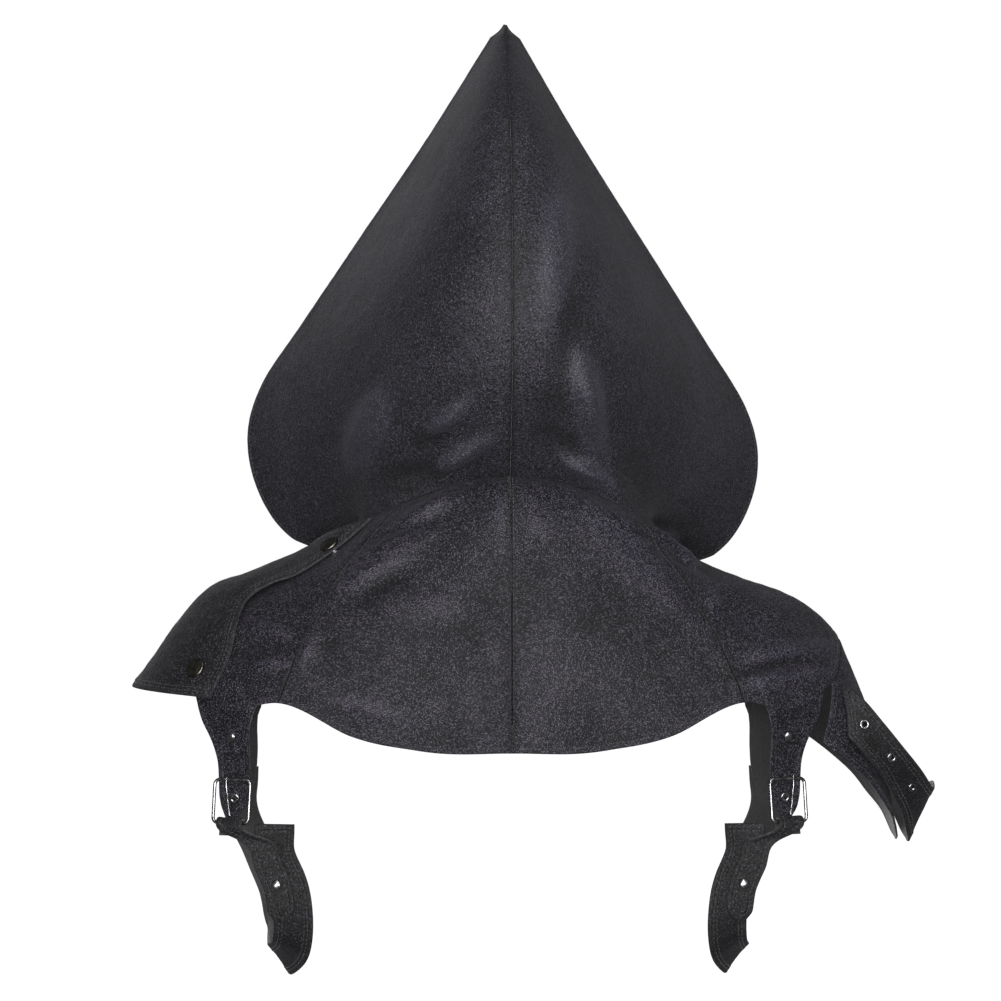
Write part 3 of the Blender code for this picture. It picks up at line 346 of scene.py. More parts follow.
# How far in from a rolled edge the mesh has its lines
EDGE_STEPS = np.array((0, 0.1, 0.3, 0.6, 1.0, 1.5, 2.1, 2.8, 3.3, 3.7, 4.1, 4.6, 5.4, 6.6, 8.2)) / 1000
STITCH_BEND = 0.28  # how far along a stitch, from its middle, it begins to bend down
STITCH_TIP = 0.55  # the width of a stitch's ends, as a share of its own
STITCH_DIP = 0.55  # how far a stitch's ends dip and its middle stands, in widths of the thread
STITCH_STAND = 0.12
LEAST_RADIUS = 1e-6  # of the last ring of a turned fitting
INSIDE = np.array((0, 0.01, -0.02))  # a place that every sheet faces away from
CALM_WIDTH = 0.006  # how far in from an edge the wrinkles are weaker
CALM_LEAST = 0.25
ROLL_WIDTH = 0.0009
ROLL_RADIUS_SHARE = 0.6  # a seam's edge is rounded more tightly than a cut one
WELT_PAST = 0.0012  # how far a turned hem stands up past its last row of stitches
WELT_SLOPE = 0.0008
GROOVE_DEPTH = 0.0003
GROOVE_WIDTH = 0.0006
PUCKER_WIDTH = 0.004
CREST_HEIGHT = 0.0016  # the height of a crease that counts as a whole crest in the material, which paints a highlight on crests and shade in hollows
WORN_WIDTH = 0.0012
SEAM_SHADE_WIDTH = 0.0015
WELT_WORN = 0.35  # how worn the highest turned hem's ridge is
WELT_WORN_WIDTH = 0.0015

Wrinkle = namedtuple("Wrinkle", "scale seed height")
# The wrinkles: how many there are to a metre, and their height as a share of the crumple depth.
WRINKLES = (
    Wrinkle(60, (3, 7, 1), 1.0),
    Wrinkle(150, (9, 2, 5), 0.6),
    Wrinkle(16, (5, 5, 8), 2.6),
)
PUCKERS = Wrinkle(190, (1, 6, 4), 0.00022)  # along the stitches, with their height in metres

Light = namedtuple("Light", "name spot size power glossy")
# The area lights, which all face the part. power is a share of the key power, and a light that isn't
# glossy shows in no reflection.
LIGHTS = (
    Light("key light", (0.2, -2.5, 1.35), 0.5, 0.60, True),
    Light("camera light", (-0.2, -3.3, 0.05), 1.0, 1.25, True),
    Light("second light", (0.9, -2.7, 0.0), 0.9, 0.26, True),
    Light("low light", (-0.9, -2.5, -0.5), 0.9, 0.22, True),
    Light("top light", (0.1, -1.3, 2.1), 0.7, 0.12, True),
    Light("front light", (-0.6, 2.5, 0.7), 1.6, 1.8, False),
)
LIGHT_AIM = (0, 0, 0.02)
CAMERA_PLACE = (-0.0775, -2.6, 0.039)
CAMERA_AIM = (-0.0045, 0, 0.039)

made = {}  # each finished piece by name, for the ones that are seated on it


def colour_setting(name, description, default):
    return FloatVectorProperty(
        name=name, description=description, subtype="COLOR", size=3, min=0, max=1, default=default)


def length_setting(name, description, default, least=0):
    return FloatProperty(name=name, description=description, unit="LENGTH", default=default, min=least)


class LeatherProperties(bpy.types.PropertyGroup):
    """The leather's colours and finish."""

    hood_colour: colour_setting(
        "Hood colour", "Colour of the hood's leather", (0.0150, 0.0139, 0.0183))
    cape_colour: colour_setting(
        "Cape colour", "Colour of the yoke and shoulder leather", (0.0032, 0.0026, 0.0048))
    strap_colour: colour_setting(
        "Strap colour", "Colour of the strap leather", (0.0056, 0.0054, 0.0064))
    fleck_colour: colour_setting(
        "Fleck colour", "Colour of the fine bright flecks of the suede face", (0.210, 0.195, 0.245))
    fleck_size: length_setting(
        "Fleck size", "Width of one fleck", 0.00064, 0.0001)
    sheen: FloatProperty(
        name="Sheen", description="Strength of the suede's soft sheen", default=0.04, min=0, max=1)
    roughness: FloatProperty(
        name="Roughness", description="How dull the leather is", subtype="FACTOR",
        default=0.52, min=0, max=1)


class DrapeProperties(bpy.types.PropertyGroup):
    """How the leather hangs."""

    crease_depth: FloatProperty(
        name="Crease depth", description="Depth of the creases, as a share of the pattern's",
        default=1.9, min=0, max=3)
    crumple_depth: length_setting(
        "Crumple depth", "Depth of the fine wrinkles", 0.00035)
    cell: length_setting(
        "Mesh spacing", "Width of one face of a panel", 0.0021, 0.001)


class SewingProperties(bpy.types.PropertyGroup):
    """The seams and stitches."""

    stitch_pitch: length_setting(
        "Stitch pitch", "From one stitch to the next", 0.0031, 0.001)
    stitch_length: length_setting(
        "Stitch length", "Length of one stitch", 0.0024, 0.0005)
    thread_width: length_setting(
        "Thread width", "Width of the thread", 0.00048, 0.0001)
    stitch_inset: length_setting(
        "Stitch inset", "From an edge to its first row of stitches", 0.0035, 0.001)
    seam_inset: length_setting(
        "Seam inset", "From a topstitched seam to its row of stitches", 0.0014, 0.0005)
    row_spacing: length_setting(
        "Row spacing", "From one row of stitches to the next", 0.0022, 0.001)
    thread_colour: colour_setting(
        "Thread colour", "Colour of the thread", (0.006, 0.006, 0.007))


class MetalProperties(bpy.types.PropertyGroup):
    """The fittings' metal."""

    frame_colour: colour_setting(
        "Fitting colour", "Colour of the buckles, rivets and eyelets", (0.30, 0.30, 0.31))
    cap_colour: colour_setting(
        "Cap colour", "Colour of the press studs' caps", (0.105, 0.10, 0.082))
    round_steps: IntProperty(
        name="Round steps", description="Faces round a turned fitting", default=40, min=12, max=96)


class StageProperties(bpy.types.PropertyGroup):
    """The floor, the lights and the camera."""

    floor_colour: colour_setting(
        "Floor colour", "Colour of the floor", (0.86, 0.86, 0.86))
    floor_height: FloatProperty(
        name="Floor height", description="Height of the floor", unit="LENGTH", default=-0.75)
    floor_glow: FloatProperty(
        name="Floor glow", description="Light that the floor gives, as a lit sweep does",
        default=0.80, min=0)
    key_power: FloatProperty(
        name="Key power", description="Power of the main lights", unit="POWER", default=70, min=0)
    focal_length: FloatProperty(
        name="Focal length", description="Focal length of the camera in millimetres",
        default=141.2, min=10)


def through(keys, values, at):
    """Values between keys, on a smooth curve through them. The values may be points."""
    slopes = np.gradient(values, keys, axis=0)
    low = np.clip(np.searchsorted(keys, at) - 1, 0, len(keys) - 2)
    step = keys[low + 1] - keys[low]
    t = (at - keys[low]) / step
    if values.ndim > 1:
        t, step = t[..., None], step[..., None]
    return (
        (2 * t**3 - 3 * t**2 + 1) * values[low]
        + (t**3 - 2 * t**2 + t) * step * slopes[low]
        + (3 * t**2 - 2 * t**3) * values[low + 1]
        + (t**3 - t**2) * step * slopes[low + 1]
    )


def column(rows, name):
    return np.array([getattr(row, name) for row in rows], float)


def smooth(rows, key, name, at):
    """One column of a table between its rows."""
    return through(column(rows, key), column(rows, name), np.asarray(at, float))


def row_at(rows, name, at):
    """One column at a share of the way down a table whose rows are evenly spaced."""
    return through(np.linspace(0, 1, len(rows)), column(rows, name), np.asarray(at, float))


def points_of(*parts):
    """Points from their x, y and z, spread to one shape."""
    return np.stack(np.broadcast_arrays(*parts), axis=-1)


def unit(vectors):
    return vectors / np.linalg.norm(vectors, axis=-1, keepdims=True)


def around(side, angle, out, up):
    """The points at a distance and height, in a direction counted from the centre back."""
    turn = np.radians(angle)
    return points_of(side * out * np.sin(turn), -out * np.cos(turn), up)


def fold_height(folds, across, way):
    """How far a table's folds lift the surface at a place."""
    height = 0
    for fold in folds:
        outward = math.copysign(fold.slant, fold.across)
        aside = (across - fold.across - outward * (way - fold.way)) / fold.spread_across
        along = (way - fold.way) / fold.spread_way
        height = height + fold.height * np.exp(-aside * aside - along * along)
    return height * FOLD_HEIGHT


def yoke_point(side, angle, way):
    """The points of the yoke's middle surface: way is 0 at the neck seam and 1 at the hem."""
    angle, way = np.asarray(angle, float), np.asarray(way, float)
    level = lambda name: smooth(YOKE_ROWS, "angle", name, angle)
    outs = (
        level("neck_out") * NECK_HALF_WIDTH,
        level("slope_out") * SHOULDER_HALF_WIDTH,
        level("edge_out") * SHOULDER_HALF_WIDTH,
        level("hem_out") * SHOULDER_HALF_WIDTH,
    )
    ups = (
        level("neck_up") * NAPE_RISE,
        level("slope_up") * YOKE_DROP,
        level("edge_up") * YOKE_DROP,
        level("hem_up") * YOKE_DROP,
    )
    a, b, c, d = 3 * way, 3 * way - 1, 3 * way - 2, 3 * way - 3
    weights = (-b * c * d / 6, a * c * d / 2, -a * b * d / 2, a * b * c / 6)
    out = sum(w * v for w, v in zip(weights, outs))
    up = sum(w * v for w, v in zip(weights, ups))
    lift = fold_height(YOKE_FOLDS, side * angle, way)
    return around(side, angle, out + lift, up + lift * (1 - way))


def yoke_run(side, angle, first, last):
    """The direction down the yoke's surface, away from the neck, between two ways."""
    return unit(yoke_point(side, angle, last) - yoke_point(side, angle, first))


def hood_point(side, across, way):
    """The points of the hood's middle surface: across runs from the centre seam to the front edge.

    Each level of the upper hood is a curve through four points, and the lowest levels blend into the
    line of the neck seam.
    """
    level = lambda name: smooth(HOOD_ROWS, "way", name, way)
    back = points_of(0.0, -level("back_reach") * HOOD_BACK_REACH, level("back_up") * HOOD_RISE)
    out = level("edge_out") * HOOD_HALF_WIDTH
    edge = points_of(out, level("edge_reach") * HOOD_FRONT_REACH, level("edge_up") * HOOD_RISE)
    near = points_of(out * HOOD_NEAR_OUT, back[..., 1], back[..., 2])
    far_y = back[..., 1] + (edge[..., 1] - back[..., 1]) * HOOD_FAR_REACH
    far = points_of(out * HOOD_FAR_OUT, far_y, (back[..., 2] + edge[..., 2]) / 2)
    t = across[..., None]
    s = 1 - t
    upper = s**3 * back + 3 * s * s * t * near + 3 * s * t * t * far + t**3 * edge
    upper[..., 2] -= HOOD_SKEW * side * upper[..., 0]
    upper[..., 0] *= side
    angle = HOOD_FRONT_ANGLE * across
    lower = yoke_point(side, angle, 0) - yoke_run(side, angle, 0, RUN_STEP) * (SEAM_GAP + NECK_SEAM_TURN)
    share = np.minimum(way / (HOOD_NECK_BLEND + (HOOD_EDGE_BLEND - HOOD_NECK_BLEND) * across**2), 1)
    blend = share * share * (3 - 2 * share)
    points = lower + (upper - lower) * blend[..., None]
    points[..., 1] -= fold_height(HOOD_FOLDS, side * across, way) * blend
    return points


def tab_point(side, front, down, across):
    """The points of a tab: down as a share of its drop, across 0 at the inner edge and 1 at the outer."""
    level = lambda name: smooth(TAB_ROWS, "down", name, down)
    out = level("inner_out") + (level("outer_out") - level("inner_out")) * across
    behind = level("inner_behind") + (level("outer_behind") - level("inner_behind")) * across
    x = side * out * SHOULDER_HALF_WIDTH
    y = (1 if front else -1) * behind * SHOULDER_HALF_WIDTH
    return points_of(x, y, -TAB_ROOT_SHARE * YOKE_DROP - down * TAB_DROP)


def flap_point(across, way):
    """The points of the flap: across is -1 at its back edge and 1 at its front edge, way 1 at the arm."""
    level = lambda name: row_at(FLAP_ROWS, name, way)
    back_angle = level("back_angle")
    angle = back_angle + (180 - 2 * back_angle) * (across + 1) / 2
    crown = 1 - across * across
    back, front = (1 - across) / 2, (1 + across) / 2
    edge_out = back * level("back_out") + front * level("front_out")
    edge_up = back * level("back_up") + front * level("front_up")
    middle_out = (level("back_out") + level("front_out")) / 2
    middle_up = (level("back_up") + level("front_up")) / 2
    out = edge_out + (level("ridge_out") - middle_out) * crown
    up = edge_up + (level("ridge_up") - middle_up) * crown
    return around(LEFT, angle, out * FLAP_REACH, up * YOKE_DROP)


def sleeve_seam(turn, beyond):
    """The points that far beyond the right shoulder panel's hem, in line with the panel."""
    angle = 90 - turn * (90 - SLEEVE_HEM_ANGLE) / SLEEVE_TURN
    return yoke_point(RIGHT, angle, 1) + yoke_run(RIGHT, angle, 1 - RUN_STEP, 1) * beyond


def outward_at(turn):
    """The way out from the right arm, at degrees round it from its outer side."""
    return points_of(np.cos(np.radians(turn)), -np.sin(np.radians(turn)), 0.0)


def sleeve_point(turn, way):
    """The points of the right sleeve cap: way is 0 at its seam and 1 at its lower edge."""
    hem = sleeve_seam(turn, SLEEVE_GAP + SLEEVE_SEAM_TURN)
    bow = np.radians(turn)
    low = points_of(
        ARM_CENTRE + SLEEVE_RADIUS * np.cos(bow),
        -SLEEVE_RADIUS * np.sin(bow),
        smooth(SLEEVE_ROWS, "turn", "edge_up", np.abs(turn)) * SLEEVE_DROP,
    )
    swell = 4 * way * (1 - way) * SLEEVE_BULGE
    return hem + (low - hem) * way[..., None] + outward_at(turn) * swell[..., None]


def cuff_point(turn, drop):
    """The points of the strap over the sleeve cap: drop is 0 at its top edge and 1 at its low edge."""
    level = lambda name: smooth(CUFF_ROWS, "turn", name, np.abs(turn))
    way = level("top_way") + (level("low_way") - level("top_way")) * drop
    stand = level("top_stand") + (level("low_stand") - level("top_stand")) * drop
    clear = SLEEVE_WALL / 2 + STRAP_WALL / 2 + 2 * SEAT_GAP
    return sleeve_point(turn, way) + outward_at(turn) * (stand * STRAP_FLARE + clear)[..., None]


def strap_place(side, way):
    """Places along an under-arm strap: their middles, their widths' directions and the ways they face."""
    def middle_at(share):
        level = lambda name: row_at(STRAP_ROWS, name, share)
        return points_of(
            side * level("out") * CHEST_HALF_WIDTH,
            level("ahead") * CHEST_HALF_DEPTH,
            -level("down") * ARMHOLE_DROP,
        )

    turn = np.radians(row_at(STRAP_ROWS, "turn", way))
    lean = np.radians(row_at(STRAP_ROWS, "lean", way))
    width = points_of(side * np.cos(turn) * np.cos(lean), np.sin(turn) * np.cos(lean), np.sin(lean))
    along = unit(middle_at(way + 0.02) - middle_at(way - 0.02))
    width = unit(width - along * (width * along).sum(-1, keepdims=True))
    return middle_at(way), width, side * np.cross(along, width)


def buckle_frame(side):
    """A buckle's place: the middle of its top bar, its directions across, down and outward."""
    middle = tab_point(side, False, BUCKLE_DOWN, 0.5)
    across = unit(tab_point(side, False, BUCKLE_DOWN, 0.0) - tab_point(side, False, BUCKLE_DOWN, 1.0))
    down = np.array((-side * BUCKLE_LEAN, -BUCKLE_LEAN, -1.0))
    down = unit(down - across * down.dot(across))
    outward = np.cross(across, down) * side
    stand = YOKE_WALL / 2 + BUCKLE_WIRE_RADIUS + 2 * SEAT_GAP
    return tuple(Vector(v) for v in (middle + outward * stand, across, down, outward))


def shares(length, spacing, first=True, last=True):
    """Places along a length as shares of it, close together at the ends that have a rolled edge."""
    near = EDGE_STEPS[EDGE_STEPS < length / 2 - spacing / 2]
    start = near[-1] if first and len(near) else 0
    stop = length - near[-1] if last and len(near) else length
    count = max(1, round((stop - start) / spacing))
    places = list(np.linspace(start, stop, count + 1))
    if first and len(near):
        places = list(near[:-1]) + places
    if last and len(near):
        places = places + list(length - near[:-1][::-1])
    return np.array(places) / length


def crumple(points, scale, seed):
    """A smooth random height at each point, mostly within one of nought, the same in every run."""
    flat = points.reshape(-1, 3) * scale + seed
    return np.array([noise.fractal(place, 1.0, 2.0, 3) for place in flat]).reshape(points.shape[:-1])


def crease_lift(points, normals):
    """How far the creases at the back lift the leather, in metres."""
    x, z = points[..., 0] * 1000, points[..., 2] * 1000
    facing = np.clip(0.2 - normals[..., 1], 0, 0.5) * 2
    lift = np.zeros(x.shape)
    for crease in CREASES:
        turn = math.radians(crease.angle)
        along = ((x - crease.x) * math.cos(turn) + (z - crease.z) * math.sin(turn)) / crease.length
        across = ((z - crease.z) * math.cos(turn) - (x - crease.x) * math.sin(turn)) / crease.width
        lift += crease.height * np.exp(-(along**2) - across**2)
    return lift * facing / 1000


def whole_grid(points):
    return np.ones((points.shape[0] - 1, points.shape[1] - 1), bool)


def grid_normals(points, cells):
    """The mean way that the faces round each point of a grid look."""
    columns = points.shape[1]
    normals = np.zeros(points.shape)
    i, j = np.nonzero(cells)
    corners = ((i, j), (i + 1, j), (i + 1, j + 1), (i, j + 1))
    a, b, c, d = (points[corner] for corner in corners)
    faces = unit(np.cross(c - a, d - b) + 1e-15)
    flat = normals.reshape(-1, 3)
    for row, line in corners:
        np.add.at(flat, row * columns + line, faces)
    size = np.linalg.norm(normals, axis=-1, keepdims=True)
    return normals / np.where(size > 0, size, 1)


def rim_edges(cells):
    """The edges of a grid's outline, as pairs of point numbers."""
    rows, columns = cells.shape[0] + 1, cells.shape[1] + 1
    number = np.arange(rows * columns).reshape(rows, columns)
    padded = np.pad(cells, 1).astype(int)
    level = padded[:-1, 1:-1] + padded[1:, 1:-1]
    upright = padded[1:-1, :-1] + padded[1:-1, 1:]
    i, j = np.nonzero(level == 1)
    k, m = np.nonzero(upright == 1)
    return np.concatenate((
        np.stack((number[i, j], number[i, j + 1]), -1),
        np.stack((number[k, m], number[k + 1, m]), -1),
    ))


def rim_loops(edges):
    """The outline as closed runs of point numbers."""
    links = {}
    for a, b in edges.tolist():
        links.setdefault(a, []).append(b)
        links.setdefault(b, []).append(a)
    loops = []
    while links:
        start = next(iter(links))
        loop, last, here = [start], None, start
        while True:
            options = [n for n in links[here] if n != last]
            last, here = here, options[0]
            if here == start:
                break
            loop.append(here)
        for number in loop:
            links.pop(number)
        loops.append(loop)
    return loops


def rim_distance(flat, used, loops):
    """For each point, how far it is from the outline and the number of the nearest outline point."""
    numbers = [number for loop in loops for number in loop]
    ahead = [number for loop in loops for number in loop[1:] + loop[:1]]
    behind = [number for loop in loops for number in loop[-1:] + loop[:-1]]
    tree = KDTree(len(numbers))
    for place, number in enumerate(numbers):
        tree.insert(flat[number], place)
    tree.balance()
    nearest = np.array([tree.find(flat[number])[1] for number in used])
    here = flat[np.array(numbers)[nearest]]
    best = np.full(len(used), np.inf)
    for others in (ahead, behind):
        other = flat[np.array(others)[nearest]]
        way = other - here
        share = ((flat[used] - here) * way).sum(-1) / np.maximum((way * way).sum(-1), 1e-18)
        foot = here + way * np.clip(share, 0, 1)[:, None]
        best = np.minimum(best, np.linalg.norm(flat[used] - foot, axis=-1))
    return best, np.array(numbers)[nearest]


def edge_wave(distance, width):
    """One at an edge or line, and fading with the distance from it."""
    return np.exp(-((distance / width) ** 2))


def sheet_height(middle, facing, distance, edges, lift, crumpled):
    """How far the outer face stands out at each point: in all, by its creases alone, and its grooves."""
    drape = bpy.context.scene.hood_drape
    sewing = bpy.context.scene.hood_sewing
    creases = crease_lift(middle, facing) * drape.crease_depth * lift
    calm = np.clip(distance / CALM_WIDTH, CALM_LEAST, 1)
    wrinkled = sum(wrinkle.height * crumple(middle, wrinkle.scale, wrinkle.seed) for wrinkle in WRINKLES)
    crest = creases + wrinkled * drape.crumple_depth * crumpled * calm
    last_row = sewing.stitch_inset + (edges.rows - 1) * sewing.row_spacing
    height = crest + edges.welt * np.clip((last_row + WELT_PAST - distance) / WELT_SLOPE, 0, 1)
    puckers = crumple(middle, PUCKERS.scale, PUCKERS.seed) * PUCKERS.height
    height += puckers * (edges.rows > 0) * edge_wave(distance - last_row, PUCKER_WIDTH)
    height -= edges.roll * np.exp(-distance / ROLL_WIDTH)
    groove = np.zeros(len(distance))
    for row in range(2):
        inset = sewing.stitch_inset + row * sewing.row_spacing
        groove += (edges.rows > row) * GROOVE_DEPTH * edge_wave(distance - inset, GROOVE_WIDTH)
    return height, crest, groove


def sheet_wear_and_seam_shade(distance, edges):
    """How much wear each point has, more at cut edges and turned hems; in a seam the value is below nought
    and stands for painted shade.
    """
    worn = np.exp(-distance / WORN_WIDTH)
    highest = max(edge.welt for edge in EDGES.values())
    worn += WELT_WORN * edges.welt / highest * edge_wave(distance - WELT_WORN_WIDTH, WELT_WORN_WIDTH)
    # A seam gets painted shade, not wear: the material darkens the leather along it.
    return np.where(edges.roll > 0, -np.exp(-distance / SEAM_SHADE_WIDTH), worn)


def leather_sheet(name, points, wall, kinds, material,
                  cells=None, lift=1.0, crumpled=1.0, centre=None):
    """A leather piece with rolled edges on a grid of middle points, its outer and inner faces apart.

    kinds gives each grid point's kind of edge, as a number in KINDS, where it lies on the outline.
    centre is a panel's side where its first or last column meets the other side's panel at X = 0.
    """
    cells = whole_grid(points) if cells is None else cells
    rows, columns = points.shape[:2]
    number = np.arange(rows * columns).reshape(rows, columns)
    i, j = np.nonzero(cells)
    quads = np.stack((number[i, j], number[i + 1, j], number[i + 1, j + 1], number[i, j + 1]), -1)
    used = np.unique(quads)
    flat_points = points.reshape(-1, 3)
    middle = flat_points[used]
    facing = grid_normals(points, cells).reshape(-1, 3)[used]
    flipped = (facing * (middle - INSIDE)).sum() < 0
    if flipped:
        facing = -facing
        quads = quads[:, ::-1]
    loops = rim_loops(rim_edges(cells))
    distance, nearest = rim_distance(flat_points, used, loops)
    finish = [EDGES[KINDS[kind]] for kind in kinds.ravel()[nearest]]
    edges = Edge(*(column(finish, field) for field in Edge._fields))
    height, crest, groove = sheet_height(middle, facing, distance, edges, lift, crumpled)
    radius = wall / 2 * np.where(edges.roll > 0, ROLL_RADIUS_SHARE, 1)
    half_wall = np.sqrt(1 - (1 - np.minimum(distance / radius, 1)) ** 2) * wall / 2
    outer = middle + facing * (height + half_wall - groove)[:, None]
    inner = middle + facing * (height - half_wall)[:, None]
    if centre:
        meets = np.abs(middle[:, 0]) < 1e-9
        for face in (outer, inner):
            face[:, 0] = centre * np.maximum(centre * face[:, 0], SEAM_GAP)
            face[meets, 0] = centre * SEAM_GAP

    # The two faces share the outline's points
    rim = np.zeros(rows * columns, bool)
    rim[[point for loop in loops for point in loop]] = True
    place_of = np.full(rows * columns, -1)
    place_of[used] = np.arange(len(used))
    inner_used = ~rim[used]
    under_of = np.where(inner_used, len(used) + np.cumsum(inner_used) - 1, np.arange(len(used)))
    quads = place_of[quads]
    mesh = bpy.data.meshes.new(name)
    mesh.from_pydata(
        np.concatenate((outer, inner[inner_used])).tolist(), [],
        np.concatenate((quads, under_of[quads][:, ::-1])).tolist())
    mesh.shade_smooth()
    # These attributes carry the leather's wear, a painted highlight on crests, and painted shade in hollows
    # and seams.
    for title, values in (("crest", crest / CREST_HEIGHT), ("worn", sheet_wear_and_seam_shade(distance, edges))):
        values = np.clip(np.concatenate((values, values[inner_used])), -1, 1)
        layer = mesh.attributes.new(title, "FLOAT", "POINT")
        layer.data.foreach_set("value", values.astype(np.float32))
    mesh.materials.append(material)
    mesh.materials.append(leather_back())
    mesh.polygons.foreach_set("material_index", np.repeat((0, 1), len(quads)).astype(np.int32))
    mesh.update()
    piece = bpy.data.objects.new(f"{name}_leather", mesh)
    bpy.context.scene.collection.objects.link(piece)
    made[name] = {
        "piece": piece, "tree": BVHTree.FromPolygons(outer.tolist(), quads.tolist()),
        "place_of": place_of, "outer": outer, "facing": facing, "loops": loops, "kinds": kinds.ravel(),
    }
    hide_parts(name)
    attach(piece, "root")
    return piece


def all_kind(points, kind):
    return np.full(points.shape[:2], KINDS.index(kind))


def side_kinds(points, top, low, first, last):
    """The kinds of a grid's four sides: its first and last row, and its first and last column."""
    kinds = all_kind(points, "seam")
    kinds[:, 0], kinds[:, -1] = KINDS.index(first), KINDS.index(last)
    kinds[0], kinds[-1] = KINDS.index(top), KINDS.index(low)
    return kinds


def runs_of(loop, kinds, wanted):
    """The stretches of an outline that have the wanted kind of edge."""
    marks = [KINDS[kinds[number]] in wanted for number in loop]
    if all(marks):
        return [loop + loop[:1]]
    start = marks.index(False)
    runs, run = [], []
    for place in range(start, start + len(loop)):
        if marks[place % len(loop)]:
            run.append(loop[place % len(loop)])
        elif run:
            runs.append(run)
            run = []
    if run:
        runs.append(run)
    return [run for run in runs if len(run) > 3]


def resample(line, pitch, *carried):
    """Points evenly spaced along a line of points, with what each point carries."""
    steps = np.linalg.norm(np.diff(line, axis=0), axis=1)
    length = np.concatenate(((0,), np.cumsum(steps)))
    count = max(2, int(length[-1] / pitch))
    places = np.linspace(0, length[-1], count + 1)
    spaced = [
        np.stack([np.interp(places, length, values[:, axis]) for axis in range(3)], -1)
        for values in (line, *carried)
    ]
    return spaced if carried else spaced[0]


def stitch_lines(name, wanted, inset, pitch):
    """Where rows of stitches run, that far in from the outline: lists of places and normals."""
    sheet = made[name]
    tree = sheet["tree"]
    lines = []
    for loop in sheet["loops"]:
        rim = KDTree(len(loop))
        for number in loop:
            rim.insert(sheet["outer"][sheet["place_of"][number]], number)
        rim.balance()
        for run in runs_of(loop, sheet["kinds"], wanted):
            numbers = sheet["place_of"][run]
            line, facing = resample(sheet["outer"][numbers], pitch / 2, sheet["facing"][numbers])
            inward = unit(np.cross(facing, np.gradient(line, axis=0)))
            places = []
            for place, way in zip(line, inward):
                hits = [tree.find_nearest(Vector(place + way * inset * turn)) for turn in (1, -1)]
                hit = min(hits, key=lambda hit: hit[3])
                if rim.find(hit[0])[2] > inset * 0.8:
                    places.append(hit[0])
            if len(places) > 3:
                hits = [tree.find_nearest(Vector(place)) for place in resample(np.array(places), pitch)]
                lines.append(([hit[0] for hit in hits], [hit[1] for hit in hits]))
    return lines


def one_stitch():
    """One stitch as mesh data: a short thread with rounded ends that dip into the leather."""
    sewing = bpy.context.scene.hood_sewing
    bpy.ops.mesh.primitive_cylinder_add(
        vertices=6, radius=sewing.thread_width / 2, depth=sewing.stitch_length, end_fill_type="NGON")
    piece = bpy.context.object
    edit_whole(piece)
    bpy.ops.transform.rotate(value=math.pi / 2, orient_axis="Y", center_override=(0, 0, 0))
    for end in (-1, 1):
        bpy.ops.mesh.select_all(action="SELECT")
        bpy.ops.mesh.bisect(
            plane_co=(end * sewing.stitch_length * STITCH_BEND, 0, 0), plane_no=(1, 0, 0))
    bpy.ops.object.mode_set(mode="OBJECT")
    for vertex in piece.data.vertices:
        if abs(vertex.co.x) > sewing.stitch_length * 0.4:
            vertex.co.y *= STITCH_TIP
            vertex.co.z = vertex.co.z * STITCH_TIP - sewing.thread_width * STITCH_DIP
        else:
            vertex.co.z += sewing.thread_width * STITCH_STAND
    data = piece.data
    vertices = np.array([v.co for v in data.vertices])
    faces = [tuple(face.vertices) for face in data.polygons]
    bpy.data.objects.remove(piece)
    bpy.data.meshes.remove(data)
    return vertices, faces


def sew(name, rows, stitch):
    """Copies the stitch along rows on a leather piece. rows gives the kinds and the inset of each."""
    sewing = bpy.context.scene.hood_sewing
    vertices, faces = stitch
    placed, joined = [], []
    for wanted, inset in rows:
        for places, normals in stitch_lines(name, wanted, inset, sewing.stitch_pitch):
            line = np.array(places)
            normal = np.array(normals)
            along = unit(np.gradient(line, axis=0))
            aside = unit(np.cross(normal, along))
            up = np.cross(along, aside)
            for place, x, y, z in zip(line, along, aside, up):
                start = len(placed) * len(vertices)
                placed.append(place + vertices @ np.array((x, y, z)))
                joined += [tuple(start + corner for corner in face) for face in faces]
    if not placed:
        raise RuntimeError(f"{name} has no edge to sew")
    mesh = bpy.data.meshes.new(f"{name}_stitches")
    mesh.from_pydata(np.concatenate(placed).tolist(), [], joined)
    mesh.shade_smooth()
    mesh.materials.append(thread())
    piece = bpy.data.objects.new(f"{name}_stitches", mesh)
    bpy.context.scene.collection.objects.link(piece)
    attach(piece, "root")
    return piece


def node_tree(name):
    material = bpy.data.materials.new(name)
    material.use_nodes = True
    tree = material.node_tree
    return material, tree, tree.nodes["Principled BSDF"]


def add_node(tree, kind, inputs=(), **settings):
    """A node with its settings and inputs. An input that is a socket is linked."""
    node = tree.nodes.new(kind)
    for key, value in settings.items():
        setattr(node, key, value)
    for key, value in dict(inputs).items():
        if isinstance(value, bpy.types.NodeSocket):
            tree.links.new(value, node.inputs[key])
        else:
            node.inputs[key].default_value = value
    return node


def calc(tree, a, b, operation="ADD", clamp=False):
    """A Math node's output for two numbers or sockets: their sum, or what another operation gives."""
    return add_node(tree, "ShaderNodeMath", {0: a, 1: b}, operation=operation, use_clamp=clamp).outputs[0]


def ramp(tree, factor, stops):
    """A colour ramp's output. stops are pairs of a place and a grey."""
    node = add_node(tree, "ShaderNodeValToRGB", {"Fac": factor})
    elements = node.color_ramp.elements
    while len(elements) < len(stops):
        elements.new(0.5)
    for element, (place, grey) in zip(elements, stops):
        element.position = place
        element.color = (grey, grey, grey, 1)
    return node.outputs["Color"]


def mix_colours(tree, factor, first, second, blend="MIX"):
    node = tree.nodes.new("ShaderNodeMix")
    node.data_type = "RGBA"
    node.blend_type = blend
    for socket, value in ((node.inputs[0], factor), (node.inputs[6], first), (node.inputs[7], second)):
        if isinstance(value, bpy.types.NodeSocket):
            tree.links.new(value, socket)
        else:
            socket.default_value = value
    return node.outputs[2]


